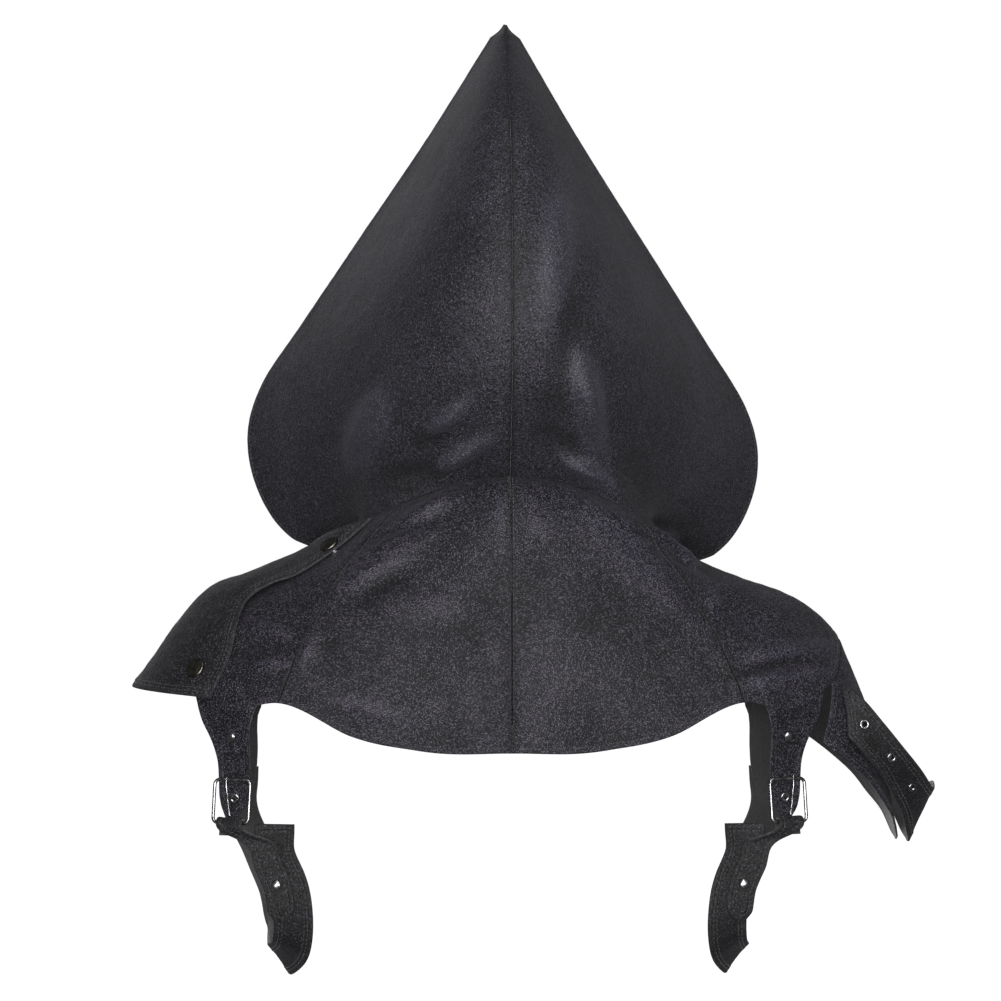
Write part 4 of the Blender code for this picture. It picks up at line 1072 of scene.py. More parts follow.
def bumped(tree, height, distance, strength=1.0, normal=None):
    inputs = {"Height": height, "Distance": distance, "Strength": strength}
    if normal is not None:
        inputs["Normal"] = normal
    return add_node(tree, "ShaderNodeBump", inputs).outputs["Normal"]


def noise_of(tree, place, scale, detail, **inputs):
    """A noise texture's output at a place."""
    settings = {"Vector": place, "Scale": scale, "Detail": detail, **inputs}
    return add_node(tree, "ShaderNodeTexNoise", settings).outputs["Fac"]


def object_place(tree):
    return add_node(tree, "ShaderNodeTexCoord").outputs["Object"]


def shade(colour, brighter=1.0):
    """A colour with its brightness scaled, as a socket takes it."""
    return (*(c * brighter for c in colour), 1)


def times(tree, socket, factor):
    return calc(tree, socket, factor, "MULTIPLY")


def suede_leather(name, colour, fleck):
    """Leather with a fine suede face: soft tone, sparse bright flecks, pale wear at cut edges, a painted
    highlight on crests and painted shade in seams and hollows.
    """
    found = bpy.data.materials.get(name)
    if found:
        return found
    leather = bpy.context.scene.hood_leather
    material, tree, shader = node_tree(name)
    place = object_place(tree)
    tone = noise_of(tree, place, 14, 4)
    patch = noise_of(tree, place, 38, 5, Roughness=0.65)
    crest = add_node(tree, "ShaderNodeAttribute", attribute_name="crest").outputs["Fac"]
    worn = add_node(tree, "ShaderNodeAttribute", attribute_name="worn").outputs["Fac"]
    dust = noise_of(tree, place, 0.55 / leather.fleck_size, 3, Roughness=0.7)
    cell = add_node(
        tree, "ShaderNodeTexVoronoi", {"Vector": place, "Scale": 1 / leather.fleck_size, "Randomness": 1},
    )
    chance = add_node(tree, "ShaderNodeSeparateColor", {"Color": cell.outputs["Color"]}).outputs[0]

    # The flecks: thicker in patches and at cut edges, thicker on crests as a painted highlight, and fewer in
    # seams under the painted seam shade
    density = calc(tree, ramp(tree, patch, ((0.36, 0.0), (0.70, 0.22))), 0.50)
    # More bright flecks on crests: a painted highlight
    density = calc(tree, density, times(tree, crest, 0.30))
    density = calc(tree, density, times(tree, worn, 0.10))
    limit = calc(tree, 1.0, times(tree, density, fleck), "SUBTRACT")
    over = calc(tree, calc(tree, chance, limit, "SUBTRACT"), 6.0, "MULTIPLY", True)
    body = calc(tree, 1.0, calc(tree, cell.outputs["Distance"], 1.5, "MULTIPLY", True), "SUBTRACT", True)
    flecks = calc(tree, over, body, "MULTIPLY", True)
    flecks = calc(tree, flecks, ramp(tree, dust, ((0.36, 0.25), (0.62, 1.0))), "MULTIPLY", True)

    # The colour: uneven and grained, pale with wear at cut edges and hems, with a painted highlight on
    # crests and painted shade in seams and hollows
    base = mix_colours(
        tree, ramp(tree, tone, ((0.34, 0.0), (0.68, 1.0))), shade(colour, 0.74), shade(colour, 1.35))
    base = mix_colours(tree, 1.0, base, ramp(tree, dust, ((0.42, 0.0), (0.60, 1.45))), "MULTIPLY")
    # Pale wear at cut edges and hems, and a painted highlight on crests
    wear_and_painted_highlight = calc(tree, times(tree, worn, 0.35), times(tree, crest, 0.30))
    wear_and_painted_highlight = calc(tree, wear_and_painted_highlight, 0.0, "MAXIMUM", True)
    base = mix_colours(tree, wear_and_painted_highlight, base, shade(colour, 3.0))
    base = mix_colours(tree, flecks, base, shade(leather.fleck_colour))
    # Painted shade: near black in seams and in the hollows between creases
    painted_shade = calc(tree, times(tree, worn, -0.9), times(tree, crest, -0.30), "MAXIMUM", True)
    base = mix_colours(tree, painted_shade, base, (0.001, 0.001, 0.001, 1))
    tree.links.new(base, shader.inputs["Base Color"])

    dull = ramp(tree, dust, ((0.3, leather.roughness + 0.16), (0.7, leather.roughness - 0.04)))
    dull = calc(tree, dull, times(tree, crest, 0.20), "SUBTRACT", True)
    dull = mix_colours(tree, flecks, dull, (0.36, 0.36, 0.36, 1))
    tree.links.new(dull, shader.inputs["Roughness"])
    tree.links.new(times(tree, flecks, 0.55), shader.inputs["Metallic"])
    normal = bumped(tree, noise_of(tree, place, 130, 4, Distortion=0.6), 0.0010, 0.6)
    normal = bumped(tree, noise_of(tree, place, 620, 4, Roughness=0.6), 0.0008, 1.0, normal)
    normal = bumped(tree, flecks, 0.0003, 0.8, normal)
    tree.links.new(normal, shader.inputs["Normal"])
    shader.inputs["Sheen Weight"].default_value = leather.sheen
    shader.inputs["Sheen Roughness"].default_value = 0.45
    shader.inputs["Sheen Tint"].default_value = (0.86, 0.86, 0.94, 1)
    shader.inputs["Specular IOR Level"].default_value = 0.23
    return material


def hood_leather():
    return suede_leather("hood_suede", bpy.context.scene.hood_leather.hood_colour, 0.40)


def cape_leather():
    return suede_leather("cape_suede", bpy.context.scene.hood_leather.cape_colour, 0.72)


def flap_leather():
    return suede_leather("flap_suede", bpy.context.scene.hood_leather.strap_colour, 0.34)


def strap_leather():
    return suede_leather("strap_suede", bpy.context.scene.hood_leather.strap_colour, 0.26)


def leather_back():
    """The matt, faintly fibrous back of the leather."""
    found = bpy.data.materials.get("leather_back")
    if found:
        return found
    material, tree, shader = node_tree("leather_back")
    place = object_place(tree)
    fibre = noise_of(tree, place, 420, 5, Roughness=0.7)
    tone = noise_of(tree, place, 18, 3)
    colour = mix_colours(
        tree, ramp(tree, tone, ((0.3, 0.0), (0.7, 1.0))), (0.014, 0.014, 0.015, 1), (0.024, 0.024, 0.026, 1))
    colour = mix_colours(tree, 1.0, colour, ramp(tree, fibre, ((0.3, 0.7), (0.7, 1.25))), "MULTIPLY")
    tree.links.new(colour, shader.inputs["Base Color"])
    tree.links.new(ramp(tree, fibre, ((0.3, 0.92), (0.7, 0.8))), shader.inputs["Roughness"])
    tree.links.new(bumped(tree, fibre, 0.0004, 0.7), shader.inputs["Normal"])
    shader.inputs["Sheen Weight"].default_value = 0.2
    shader.inputs["Sheen Roughness"].default_value = 0.6
    return material


def thread():
    """Waxed thread, twisted across its length."""
    found = bpy.data.materials.get("thread")
    if found:
        return found
    material, tree, shader = node_tree("thread")
    strand = noise_of(tree, object_place(tree), 1500, 2)
    colour = shade(bpy.context.scene.hood_sewing.thread_colour)
    base = mix_colours(tree, 1.0, colour, ramp(tree, strand, ((0.3, 0.6), (0.7, 1.5))), "MULTIPLY")
    tree.links.new(base, shader.inputs["Base Color"])
    tree.links.new(ramp(tree, strand, ((0.3, 0.6), (0.7, 0.45))), shader.inputs["Roughness"])
    tree.links.new(bumped(tree, strand, 0.0002), shader.inputs["Normal"])
    shader.inputs["Sheen Weight"].default_value = 0.25
    return material


def metal(name, colour, roughness):
    """Plated metal with fine wear: small scratches and duller patches."""
    found = bpy.data.materials.get(name)
    if found:
        return found
    material, tree, shader = node_tree(name)
    place = object_place(tree)
    patch = noise_of(tree, place, 320, 5)
    fine = noise_of(tree, place, 1600, 3, Distortion=1.2)
    base = mix_colours(
        tree, ramp(tree, patch, ((0.35, 0.0), (0.65, 1.0))), shade(colour, 0.72), shade(colour, 1.15))
    tree.links.new(base, shader.inputs["Base Color"])
    dull = ramp(tree, patch, ((0.3, roughness - 0.05), (0.7, roughness + 0.12)))
    tree.links.new(dull, shader.inputs["Roughness"])
    tree.links.new(bumped(tree, fine, 0.00003, 0.5), shader.inputs["Normal"])
    shader.inputs["Metallic"].default_value = 1.0
    return material


def gunmetal():
    return metal("plated_steel", bpy.context.scene.hood_metal.frame_colour, 0.22)


def cap_metal():
    return metal("bronzed_steel", bpy.context.scene.hood_metal.cap_colour, 0.26)


def relaxed(points, first, last, stretches, passes):
    """The grid with some rows eased towards a smooth curve, in some stretches of its columns."""
    for _ in range(passes):
        eased = points.copy()
        for columns in stretches:
            above, here, below = (
                points[first + step:last + step, columns] for step in (-1, 0, 1))
            eased[first:last, columns] = (above + 2 * here + below) / 4
        points = eased
    return points


class HOOD_OT_hood(bpy.types.Operator):
    """Makes the hood's two panels with their turned front edge"""

    bl_idname = "costume_hood.hood"
    bl_label = "Hood Panels"

    def execute(self, context):
        spacing = context.scene.hood_drape.cell
        rise = HOOD_MESH_RISE
        across = shares(HOOD_MESH_WIDTH, spacing)
        away = shares(rise, spacing)
        for side, word in SIDES:
            grid_across, grid_away = np.meshgrid(across, away)
            way = np.clip((grid_away * rise - NECK_SEAM_TURN) / (rise - NECK_SEAM_TURN), 0, 1)
            points = hood_point(side, grid_across, way)
            angle = HOOD_FRONT_ANGLE * across
            start = yoke_point(side, angle, 0) - yoke_run(side, angle, 0, RUN_STEP) * SEAM_GAP
            foot = points[np.searchsorted(away * rise, NECK_SEAM_TURN) - 1]
            for row in range(len(away)):
                risen = away[row] * rise / NECK_SEAM_TURN
                if risen < 1:
                    points[row] = start + (foot - start) * risen
            points = relaxed(points, 1, HOOD_EASED_ROWS, [slice(None)], HOOD_EASED_PASSES)
            points[..., 0] *= np.clip((1 - way) / PEAK_TAPER, 0, 1)
            points[..., 0] = side * np.maximum(side * points[..., 0], 0)
            kinds = side_kinds(points, "seam", "seam", "seam", "hem")
            leather_sheet(
                f"hood_{word}", points, HOOD_WALL, kinds, hood_leather(),
                crumpled=0.5, centre=side)
        return {"FINISHED"}


class HOOD_OT_yoke(bpy.types.Operator):
    """Makes the back and front yoke panels"""

    bl_idname = "costume_hood.yoke"
    bl_label = "Yoke Panels"

    def execute(self, context):
        spacing = context.scene.hood_drape.cell
        for part, first, last, area, flat in (
            ("back", 0, SIDE_SEAM_ANGLE, 0.0215, (0.14, 0.18)),
            ("front", 180 - SIDE_SEAM_ANGLE, 180, 0.0135, (0.12, 0.13)),
        ):
            for side, word in SIDES:
                angles = first + (last - first) * shares(YOKE_MESH_WIDTH, spacing)
                points = yoke_point(side, *np.meshgrid(angles, shares(YOKE_MESH_LENGTH, spacing)))
                kinds = side_kinds(points, "seam", "hem", "stitched_seam", "stitched_seam")
                if part == "back":
                    kinds[:, -1] = KINDS.index("stitched_seam")
                leather_sheet(
                    f"yoke_{part}_{word}", points, YOKE_WALL, kinds, cape_leather(),
                    centre=side)
        return {"FINISHED"}


class HOOD_OT_shoulders(bpy.types.Operator):
    """Makes the shoulder panels with the tabs that go into the buckles"""

    bl_idname = "costume_hood.shoulders"
    bl_label = "Shoulder Panels"

    def columns(self, spacing):
        """The directions of the panel's columns, and the columns where its five stretches meet."""
        seam, first, last = SIDE_SEAM_ANGLE, TAB_FIRST_ANGLE, TAB_LAST_ANGLE
        stretches = (
            (seam, first, 0.010, True, False),
            (first, last, 0.028, True, True),
            (last, 180 - last, 0.115, False, False),
            (180 - last, 180 - first, 0.028, True, True),
            (180 - first, 180 - seam, 0.010, False, True),
        )
        angles, ends = [], [0]
        for start, stop, length, dense_first, dense_last in stretches:
            part = start + (stop - start) * shares(length, spacing, dense_first, dense_last)
            angles += list(part if not angles else part[1:])
            ends.append(len(angles) - 1)
        return np.array(angles), ends

    def execute(self, context):
        spacing = context.scene.hood_drape.cell
        angles, ends = self.columns(spacing)
        ways = shares(SHOULDER_MESH_LENGTH, spacing)
        downs = TAB_ROWS[0].down + (1 - TAB_ROWS[0].down) * shares(TAB_DROP, spacing, False, True)
        for side, word in SIDES:
            panel = yoke_point(side, *np.meshgrid(angles, ways))
            tabs = np.zeros((len(downs) + 2, len(angles), 3)) + panel[-1]
            cells = np.ones((len(ways) + len(downs) + 1, len(angles) - 1), bool)
            cells[len(ways) - 1:] = False
            for front, begin, end in ((False, ends[1], ends[2]), (True, ends[3], ends[4])):
                columns = np.arange(begin, end + 1)
                share = (angles[columns] - angles[begin]) / (angles[end] - angles[begin])
                share = 1 - share if front else share
                across, down = np.meshgrid(share, downs)
                tabs[2:, columns] = tab_point(side, front, down, across)
                for step in (0, 1):
                    part = (step + 1) / 3
                    tabs[step, columns] = panel[-1, columns] * (1 - part) + tabs[2, columns] * part
                cells[len(ways) - 1:, columns[:-1]] = True
            points = np.concatenate((panel, tabs))
            root = len(ways) - 1
            insides = [slice(ends[1] + 1, ends[2]), slice(ends[3] + 1, ends[4])]
            points = relaxed(points, root - 3, root + 6, insides, TAB_EASED_PASSES)
            kinds = all_kind(points, "hem")
            kinds[0] = KINDS.index("seam")
            kinds[:root, 0] = kinds[:root, -1] = KINDS.index("seam")
            leather_sheet(
                f"shoulder_{word}", points, YOKE_WALL, kinds, cape_leather(), cells=cells)
        return {"FINISHED"}


class HOOD_OT_flap(bpy.types.Operator):
    """Makes the flap over the left shoulder, with its bound edge"""

    bl_idname = "costume_hood.flap"
    bl_label = "Shoulder Flap"

    def execute(self, context):
        spacing = context.scene.hood_drape.cell
        across = 2 * shares(FLAP_MESH_WIDTH, spacing) - 1
        points = flap_point(*np.meshgrid(across, shares(FLAP_MESH_LENGTH, spacing)))
        leather_sheet(
            "shoulder_flap", points, FLAP_WALL, all_kind(points, "bound"), flap_leather(),
            lift=0.5)
        return {"FINISHED"}


class HOOD_OT_sleeve(bpy.types.Operator):
    """Makes the right sleeve cap and the strap over it"""

    bl_idname = "costume_hood.sleeve"
    bl_label = "Sleeve Cap And Strap"

    def execute(self, context):
        spacing = context.scene.hood_drape.cell
        turns = SLEEVE_TURN * (1 - 2 * shares(SLEEVE_MESH_WIDTH, spacing))
        points = sleeve_point(*np.meshgrid(turns, shares(SLEEVE_MESH_LENGTH, spacing)))
        seam = sleeve_seam(turns, SEAM_GAP)
        points = np.concatenate((seam[None], (seam + points[0])[None] / 2, points))
        kinds = side_kinds(points, "stitched_seam", "hem", "hem", "hem")
        leather_sheet(
            "sleeve_cap", points, SLEEVE_WALL, kinds, cape_leather(),
            lift=0.0, crumpled=0.5)
        turns = CUFF_ROWS[-1].turn * (1 - 2 * shares(ARM_STRAP_LENGTH, ARM_STRAP_SPACING))
        points = cuff_point(*np.meshgrid(turns, shares(ARM_STRAP_WIDTH, NARROW_SPACING)))
        leather_sheet(
            "arm_strap", points, STRAP_WALL, all_kind(points, "bound"), strap_leather(),
            lift=0.0, crumpled=0.4)
        return {"FINISHED"}


def strip_points(frames, length, width):
    """The grid of a strap that passes smoothly through frames, each a middle and half its width."""
    middles = np.array([frame[0] for frame in frames])
    halves = np.array([frame[1] for frame in frames])
    keys = np.concatenate(((0,), np.cumsum(np.linalg.norm(np.diff(middles, axis=0), axis=1))))
    along = shares(length, STRAP_SPACING) * keys[-1]
    across = 2 * shares(width, NARROW_SPACING) - 1
    middle, half = through(keys, middles, along), through(keys, halves, along)
    return middle[:, None] + half[:, None] * across[None, :, None]


class HOOD_OT_straps(bpy.types.Operator):
    """Makes the straps under the arms and the chapes that hold the buckles"""

    bl_idname = "costume_hood.straps"
    bl_label = "Straps And Chapes"

    def execute(self, context):
        for side, word in SIDES:
            self.strap(side, word)
            self.chape(side, word)
        return {"FINISHED"}

    def strap(self, side, word):
        """The strap from beside its buckle, under the arm and onto the front tab."""
        middles, widths, _ = strap_place(side, np.arange(STRAP_STEPS + 1) / STRAP_STEPS)
        frames = [(m, w * STRAP_WIDTH / 2) for m, w in zip(middles, widths)]
        lap = (YOKE_WALL + STRAP_WALL) / 2 + 2 * SEAT_GAP
        for number in STRAP_LAP_ROWS:
            down, above = TAB_ROWS[number].down, TAB_ROWS[number - 1].down
            width = tab_point(side, True, down, 1.0) - tab_point(side, True, down, 0.0)
            middle = tab_point(side, True, down, 0.5)
            faces = unit(np.cross(width, tab_point(side, True, above, 0.5) - middle)) * -side
            frames.append((middle + faces * lap, unit(width) * STRAP_WIDTH / 2))
        points = strip_points(frames, STRAP_LENGTH, STRAP_WIDTH)
        leather_sheet(
            f"side_strap_{word}", points, STRAP_WALL, all_kind(points, "bound"), strap_leather(),
            lift=0.0, crumpled=0.3)

    def chape(self, side, word):
        """The short strap that is folded round the buckle's lower bar and riveted to the long one."""
        top, across, down, outward = (np.array(v) for v in buckle_frame(side))
        bar = top + down * BUCKLE_HEIGHT
        half = across * -CHAPE_WIDTH / 2
        round_bar = BUCKLE_WIRE_RADIUS + 3 * SEAT_GAP + CHAPE_WALL / 2
        frames = [(bar - outward * round_bar + down * CHAPE_TURN, half)]
        for turn in np.radians((180, 157, 135, 112, 90, 68, 45, 22, 0)):
            spot = outward * math.cos(turn) - down * math.sin(turn)
            frames.append((bar + spot * round_bar, half))
        clear = (STRAP_WALL + CHAPE_WALL) / 2 + 2 * SEAT_GAP
        for row in CHAPE_ROWS:
            middle, width, faces = strap_place(side, np.array(row.step / STRAP_STEPS))
            place = middle + width * row.aside * STRAP_WIDTH + faces * (clear + row.stand * CHAPE_STAND)
            frames.append((place, width * row.width * CHAPE_WIDTH / 2))
        points = strip_points(frames, CHAPE_LENGTH, CHAPE_WIDTH)
        leather_sheet(
            f"chape_{word}", points, CHAPE_WALL, all_kind(points, "strap"), strap_leather(),
            lift=0.0, crumpled=0.3)


class HOOD_OT_clasp(bpy.types.Operator):
    """Makes the plain clasp strap at the centre front"""

    bl_idname = "costume_hood.clasp"
    bl_label = "Front Clasp"

    def execute(self, context):
        out = np.linalg.norm(yoke_point(RIGHT, 180, CLASP_WAY)[:2])
        reach = np.linalg.norm(yoke_point(RIGHT, 180, 1) - yoke_point(RIGHT, 180, 0))
        bow, down = np.meshgrid(
            np.degrees((2 * shares(CLASP_WIDTH, CLASP_SPACING) - 1) * CLASP_WIDTH / 2 / out),
            shares(CLASP_HEIGHT, CLASP_SPACING) - 0.5)
        way = CLASP_WAY + down * CLASP_HEIGHT / reach
        angle = 180 - np.abs(bow)
        points = np.zeros(bow.shape + (3,))
        for side in (LEFT, RIGHT):
            here = yoke_point(side, angle, way)
            run = yoke_run(side, angle, way, way + RUN_STEP)
            outward = unit(here * (1, 1, 0))
            outward = unit(outward - run * (outward * run).sum(-1, keepdims=True))
            clear = (YOKE_WALL + CLASP_WALL) / 2 + 2 * SEAT_GAP
            chosen = (bow >= 0) == (side == RIGHT)
            points[chosen] = (here + outward * clear)[chosen]
        leather_sheet(
            "front_clasp", points, CLASP_WALL, all_kind(points, "strap"), strap_leather(),
            lift=0.0, crumpled=0.3)
        return {"FINISHED"}


def select_only(piece):
    bpy.ops.object.select_all(action="DESELECT")
    piece.select_set(True)
    bpy.context.view_layer.objects.active = piece


def edit_whole(piece):
    """Goes into edit mode with all of a mesh selected."""
    select_only(piece)
    bpy.ops.object.mode_set(mode="EDIT")
    bpy.ops.mesh.select_all(action="SELECT")


def drawn_up(name, profile, material, steps=None):
    """A round piece about Z, drawn up ring by ring from a circle. profile runs from the rim to the top."""
    steps = steps or bpy.context.scene.hood_metal.round_steps
    radius, height = profile[0]
    bpy.ops.mesh.primitive_circle_add(vertices=steps, radius=radius, location=(0, 0, height))
    piece = bpy.context.object
    edit_whole(piece)
    for next_radius, next_height in profile[1:]:
        bpy.ops.mesh.extrude_region_move(TRANSFORM_OT_translate={"value": (0, 0, next_height - height)})
        next_radius = max(next_radius, LEAST_RADIUS)
        grow = next_radius / radius
        bpy.ops.transform.resize(value=(grow, grow, 1), center_override=(0, 0, next_height))
        radius, height = next_radius, next_height
    bpy.ops.mesh.select_all(action="SELECT")
    bpy.ops.mesh.remove_doubles(threshold=0.00001)
    bpy.ops.mesh.normals_make_consistent(inside=False)
    bpy.ops.object.mode_set(mode="OBJECT")
    bpy.ops.object.transform_apply(location=True, rotation=True, scale=True)
    bpy.ops.object.shade_smooth_by_angle(angle=math.radians(40))
    piece.name = name
    piece.data.name = name
    piece.data.materials.append(material)
    return piece


def frame_at(place, outward, along=(0, 0, 1)):
    """A matrix at a place with Z outward and X as near along as it can be."""
    z = Vector(outward).normalized()
    y = z.cross(Vector(along)).normalized()
    return Matrix.Translation(place) @ Matrix((y.cross(z), y, z)).transposed().to_4x4()


def seated(node, on, radius):
    """Where a round fitting sits on the leather: over its CAD node's middle, at the highest spot."""
    low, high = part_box(node)
    middle = (low + high) / 2
    tree = made[on]["tree"]
    normal = tree.find_nearest(middle)[1]
    spots = [Vector()]
    aside = normal.orthogonal().normalized() * radius
    spots += [Matrix.Rotation(math.tau * i / 12, 3, normal) @ aside for i in range(12)]
    hits = [tree.ray_cast(middle + spot + normal * 0.02, -normal, 0.05) for spot in spots]
    hits = [hit for hit in hits if hit[0] is not None]
    normal = sum((hit[1] for hit in hits), Vector()).normalized()
    rise = max((hit[0] - hits[0][0]).dot(normal) for hit in hits)
    return frame_at(hits[0][0] + normal * rise, normal)


def put_fitting(piece, node, matrix):
    """Moves a fitting's mesh to its place and lets it stand for its CAD node."""
    piece.data.transform(matrix)
    piece.data.update()
    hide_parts(node)
    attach(piece, "root")
    return piece


RIVET_PROFILE = (
    (0.00300, 0.0), (0.00338, 0.00012), (0.00344, 0.00040), (0.00332, 0.00072), (0.00300, 0.00105),
    (0.00250, 0.00138), (0.00190, 0.00164), (0.00120, 0.00180), (0.00055, 0.00187), (0.0, 0.00189),
)
CAP_PROFILE = (
    (0.00560, 0.0), (0.00640, 0.00014), (0.00664, 0.00050), (0.00660, 0.00095), (0.00636, 0.00140),
    (0.00596, 0.00168), (0.00560, 0.00172), (0.00530, 0.00164), (0.00508, 0.00160), (0.00470, 0.00172),
    (0.00390, 0.00200), (0.00280, 0.00224), (0.00150, 0.00238), (0.00060, 0.00241), (0.0, 0.00242),
)
EYELET_PROFILE = (
    (0.00225, -0.0022), (0.00225, 0.0), (0.00318, 0.00002), (0.00326, 0.00018), (0.00322, 0.00044),
    (0.00300, 0.00068), (0.00266, 0.00080), (0.00226, 0.00078), (0.00190, 0.00058), (0.00168, 0.00024),
    (0.00160, -0.0004), (0.00160, -0.0022), (0.00225, -0.0022),
)


RIVET_SEAT = 0.0034
EYELET_SEAT = 0.0032
CAP_SEAT = 0.0066
CAP_STEPS = 56
EYELET_HOLE_RADIUS = 0.0024
EYELET_HOLE_DEPTH = 0.012


class HOOD_OT_studs(bpy.types.Operator):
    """Makes the rivets, press studs and eyelets, each seated on its leather"""

    bl_idname = "costume_hood.studs"
    bl_label = "Studs And Eyelets"

    def execute(self, context):
        for _, word in SIDES:
            for rivet, leather in (("tab_rivet", "shoulder"), ("chape_rivet", "chape")):
                node = f"{rivet}_{word}"
                piece = drawn_up(f"{node}_head", RIVET_PROFILE, gunmetal())
                put_fitting(piece, node, seated(node, f"{leather}_{word}", RIVET_SEAT))
        for node, on in (
            ("billet_eyelet_left", "shoulder_left"), ("billet_eyelet_right", "shoulder_right"),
            ("arm_eyelet_1", "arm_strap"), ("arm_eyelet_2", "arm_strap"), ("arm_eyelet_3", "arm_strap"),
        ):
            matrix = seated(node, on, EYELET_SEAT)
            self.punch(made[on]["piece"], matrix)
            piece = drawn_up(f"{node}_ring", EYELET_PROFILE, gunmetal())
            put_fitting(piece, node, matrix)
        for word in ("neck", "arm"):
            node = f"snap_cap_{word}"
            piece = drawn_up(f"{node}_dome", CAP_PROFILE, cap_metal(), CAP_STEPS)
            put_fitting(piece, node, seated(node, "shoulder_flap", CAP_SEAT))
            self.socket(f"snap_socket_{word}")
        return {"FINISHED"}

    def punch(self, leather, matrix):
        """Cuts the round hole that an eyelet's barrel passes through."""
        bpy.ops.mesh.primitive_cylinder_add(vertices=32, radius=EYELET_HOLE_RADIUS, depth=EYELET_HOLE_DEPTH)
        cutter = bpy.context.object
        cutter.data.transform(matrix)
        cut = leather.modifiers.new("eyelet hole", "BOOLEAN")
        cut.operation = "DIFFERENCE"
        cut.solver = "EXACT"
        cut.object = cutter
        select_only(leather)
        bpy.ops.object.modifier_apply(modifier=cut.name)
        bpy.data.objects.remove(cutter)

    def socket(self, node):
        """The socket under a press stud's cap, between its CAD node's two ends."""
        corners = np.array([v.co for v in frame["nodes"][node].data.vertices])
        low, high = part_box(node)
        middle = (low + high) / 2
        normal = made["shoulder_left"]["tree"].find_nearest(middle)[1]
        reach = (corners - np.array(middle)) @ np.array(normal)
        base, rise = reach.min(), reach.max() - reach.min()
        profile = (
            (0.0040, 0.0), (0.0045, 0.0002), (0.0045, rise * 0.36), (0.0041, rise * 0.46),
            (0.0032, rise * 0.54), (0.0031, rise * 0.92), (0.0027, rise * 0.99), (0.0, rise),
        )
        piece = drawn_up(f"{node}_post", profile, gunmetal())
        put_fitting(piece, node, frame_at(middle + normal * base, normal))


class HOOD_OT_buckles(bpy.types.Operator):
    """Makes the wire buckles with their prongs"""

    bl_idname = "costume_hood.buckles"
    bl_label = "Buckles"

    def execute(self, context):
        for side, word in SIDES:
            top, across, down, _ = buckle_frame(side)
            turn = Matrix((across, down, across.cross(down))).transposed().to_4x4()
            bpy.ops.mesh.primitive_plane_add(size=1)
            edit_whole(context.object)
            bpy.ops.transform.resize(value=(BUCKLE_WIDTH, BUCKLE_HEIGHT, 1), center_override=(0, 0, 0))
            bpy.ops.mesh.bevel(offset=BUCKLE_CORNER, segments=8, affect="VERTICES", offset_type="OFFSET")
            bpy.ops.mesh.select_all(action="SELECT")
            bpy.ops.mesh.delete(type="ONLY_FACE")
            bpy.ops.object.mode_set(mode="OBJECT")
            bpy.ops.object.convert(target="CURVE")
            piece = self.drawn_wire(context.object, BUCKLE_WIRE_RADIUS, 4)
            edit_whole(piece)
            bpy.ops.mesh.remove_doubles(threshold=0.000001)
            bpy.ops.mesh.normals_make_consistent(inside=False)
            bpy.ops.object.mode_set(mode="OBJECT")
            piece.name = f"buckle_frame_{word}_wire"
            piece.data.materials.append(gunmetal())
            middle = Matrix.Translation(top + down * BUCKLE_HEIGHT / 2)
            put_fitting(piece, f"buckle_frame_{word}", middle @ turn)
            self.prong(side, word)
        return {"FINISHED"}

    def drawn_wire(self, wire, radius, resolution):
        """Gives a curve a round section and makes it a mesh."""
        wire.data.bevel_depth = radius
        wire.data.bevel_resolution = resolution
        wire.data.use_fill_caps = True
        select_only(wire)
        bpy.ops.object.convert(target="MESH")
        bpy.ops.object.shade_smooth()
        return bpy.context.object

    def prong(self, side, word):
        """Makes the prong, which bends over the leather from the lower bar to the top one."""
        top, across, down, outward = buckle_frame(side)
        over = BUCKLE_WIRE_RADIUS + PRONG_WIRE_RADIUS + SEAT_GAP
        fold = BUCKLE_WIRE_RADIUS + CHAPE_WALL + PRONG_WIRE_RADIUS + 3 * SEAT_GAP
        aside = -across * BUCKLE_WIDTH * 0.14
        keys = np.array((0.0, 0.4, 0.7, 0.92, 1.0))
        path = np.array([
            top + down * fall + outward * over * stand + aside * share
            for fall, stand, share in (
                (BUCKLE_HEIGHT - fold, 0.8, 0.0),
                (BUCKLE_HEIGHT * 0.6, 0.8, 0.4),
                (BUCKLE_HEIGHT * 0.3, 0.8, 0.8),
                (BUCKLE_HEIGHT * 0.08, 1.0, 1.0),
                (-BUCKLE_WIRE_RADIUS * 1.4, 1.0, 1.0),
            )
        ])
        steps = np.linspace(0, 1, 25)
        line = through(keys, path, steps)
        curve = bpy.data.curves.new("prong", "CURVE")
        curve.dimensions = "3D"
        spline = curve.splines.new("POLY")
        spline.points.add(len(line) - 1)
        for place, point, step in zip(spline.points, line, steps):
            place.co = (*point, 1)
            place.radius = 1.0 - 0.35 * step**2 if step < 1 else 0.3
        wire = bpy.data.objects.new("prong", curve)
        bpy.context.scene.collection.objects.link(wire)
        piece = self.drawn_wire(wire, PRONG_WIRE_RADIUS, 3)
        piece.name = f"buckle_prong_{word}_pin"
        piece.data.materials.append(gunmetal())
        put_fitting(piece, f"buckle_prong_{word}", Matrix.Identity(4))


class HOOD_OT_stitching(bpy.types.Operator):
    """Sews every hem, bound edge and topstitched seam"""

    bl_idname = "costume_hood.stitching"
    bl_label = "Stitching"

    def execute(self, context):
        sewing = context.scene.hood_sewing
        stitch = one_stitch()
        first = sewing.stitch_inset
        second = first + sewing.row_spacing
        hems = [(("hem", "bound", "strap"), first)]
        bound = hems + [(("bound",), second)]
        seamed = hems + [(("stitched_seam",), sewing.seam_inset)]
        for _, word in SIDES:
            for part, rows in (
                ("hood", hems), ("yoke_back", seamed), ("yoke_front", hems),
                ("shoulder", hems), ("side_strap", bound), ("chape", hems),
            ):
                sew(f"{part}_{word}", rows, stitch)
        for part, rows in (
            ("shoulder_flap", bound), ("sleeve_cap", hems), ("arm_strap", bound), ("front_clasp", hems),
        ):
            sew(part, rows, stitch)
        return {"FINISHED"}


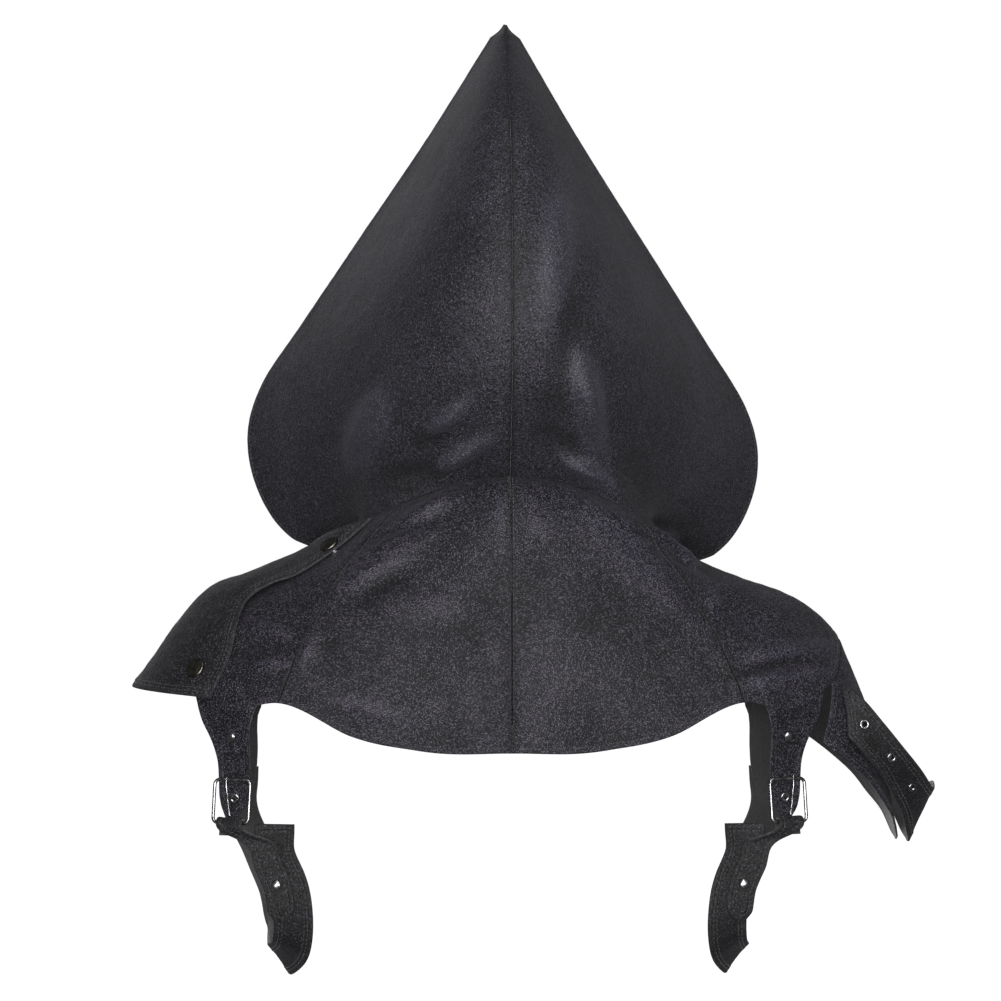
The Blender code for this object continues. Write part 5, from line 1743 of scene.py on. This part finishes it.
class HOOD_OT_stage(bpy.types.Operator):
    """Lays the floor and sets the lights and the camera"""

    bl_idname = "costume_hood.stage"
    bl_label = "Stage"

    def execute(self, context):
        scene = context.scene
        stage = scene.hood_stage
        bpy.ops.mesh.primitive_plane_add(size=40, location=(0, 0, stage.floor_height))
        floor = context.object
        floor.name = "floor"
        material, tree, shader = node_tree("floor")
        tone = noise_of(tree, object_place(tree), 3, 2)
        colour = mix_colours(tree, tone, shade(stage.floor_colour, 0.985), shade(stage.floor_colour))
        tree.links.new(colour, shader.inputs["Base Color"])
        shader.inputs["Roughness"].default_value = 0.8
        shader.inputs["Emission Color"].default_value = (1, 1, 1, 1)
        shader.inputs["Emission Strength"].default_value = stage.floor_glow
        floor.data.materials.append(material)
        floor.visible_diffuse = False
        floor.visible_glossy = False

        world = bpy.data.worlds.new("studio")
        world.use_nodes = True
        tree = world.node_tree
        background = tree.nodes["Background"]
        path = add_node(tree, "ShaderNodeLightPath")
        strength = self.switched(tree, path.outputs["Is Camera Ray"], 0.30, 1.0)
        shine = self.switched(tree, path.outputs["Is Glossy Ray"], 1.0, 0.35)
        background.inputs["Color"].default_value = (1, 1, 1, 1)
        tree.links.new(times(tree, strength, shine), background.inputs["Strength"])
        scene.world = world

        for light in LIGHTS:
            source = bpy.data.lights.new(light.name, "AREA")
            source.size = light.size
            source.energy = stage.key_power * light.power
            lamp = bpy.data.objects.new(light.name, source)
            lamp.visible_glossy = light.glossy
            self.aim(lamp, light.spot, LIGHT_AIM)

        lens = bpy.data.cameras.new("camera")
        lens.sensor_width = 36
        lens.lens = stage.focal_length
        camera = bpy.data.objects.new("camera", lens)
        self.aim(camera, CAMERA_PLACE, CAMERA_AIM)
        scene.camera = camera
        scene.view_settings.view_transform = "Standard"
        return {"FINISHED"}

    def switched(self, tree, ray, others, those):
        """One strength for the rays of a kind and another for all the others."""
        return add_node(
            tree, "ShaderNodeMapRange", {"Value": ray, "To Min": others, "To Max": those}).outputs["Result"]

    def aim(self, piece, spot, target):
        """Puts a light or camera at a place and turns it to face another."""
        piece.location = spot
        way = Vector(target) - piece.location
        piece.rotation_euler = way.to_track_quat("-Z", "Y").to_euler()
        bpy.context.scene.collection.objects.link(piece)


STEPS = (
    HOOD_OT_hood, HOOD_OT_yoke, HOOD_OT_shoulders, HOOD_OT_flap, HOOD_OT_sleeve, HOOD_OT_straps,
    HOOD_OT_clasp, HOOD_OT_stitching, HOOD_OT_studs, HOOD_OT_buckles, HOOD_OT_stage,
)


class HOOD_PT_panel(bpy.types.Panel):
    """Lists the steps and the settings"""

    bl_idname = "HOOD_PT_panel"
    bl_label = "Costume Hood"
    bl_space_type = "VIEW_3D"
    bl_region_type = "UI"
    bl_category = "Costume Hood"

    def draw(self, context):
        for step in STEPS:
            self.layout.operator(step.bl_idname)
        for group in GROUPS:
            settings = getattr(context.scene, group)
            for name in settings.__annotations__:
                self.layout.prop(settings, name)


GROUPS = {
    "hood_leather": LeatherProperties,
    "hood_drape": DrapeProperties,
    "hood_sewing": SewingProperties,
    "hood_metal": MetalProperties,
    "hood_stage": StageProperties,
}


def register():
    for kind in (*GROUPS.values(), *STEPS, HOOD_PT_panel):
        bpy.utils.register_class(kind)
    for name, kind in GROUPS.items():
        setattr(bpy.types.Scene, name, PointerProperty(type=kind))


def unregister():
    for name in GROUPS:
        delattr(bpy.types.Scene, name)
    for kind in (HOOD_PT_panel, *reversed(STEPS), *reversed(GROUPS.values())):
        bpy.utils.unregister_class(kind)


def main():
    register()
    bpy.ops.costume_hood.hood()
    bpy.ops.costume_hood.yoke()
    bpy.ops.costume_hood.shoulders()
    bpy.ops.costume_hood.flap()
    bpy.ops.costume_hood.sleeve()
    bpy.ops.costume_hood.straps()
    bpy.ops.costume_hood.clasp()
    bpy.ops.costume_hood.stitching()
    bpy.ops.costume_hood.studs()
    bpy.ops.costume_hood.buckles()
    bpy.ops.costume_hood.stage()


if __name__ == "__main__":
    main()
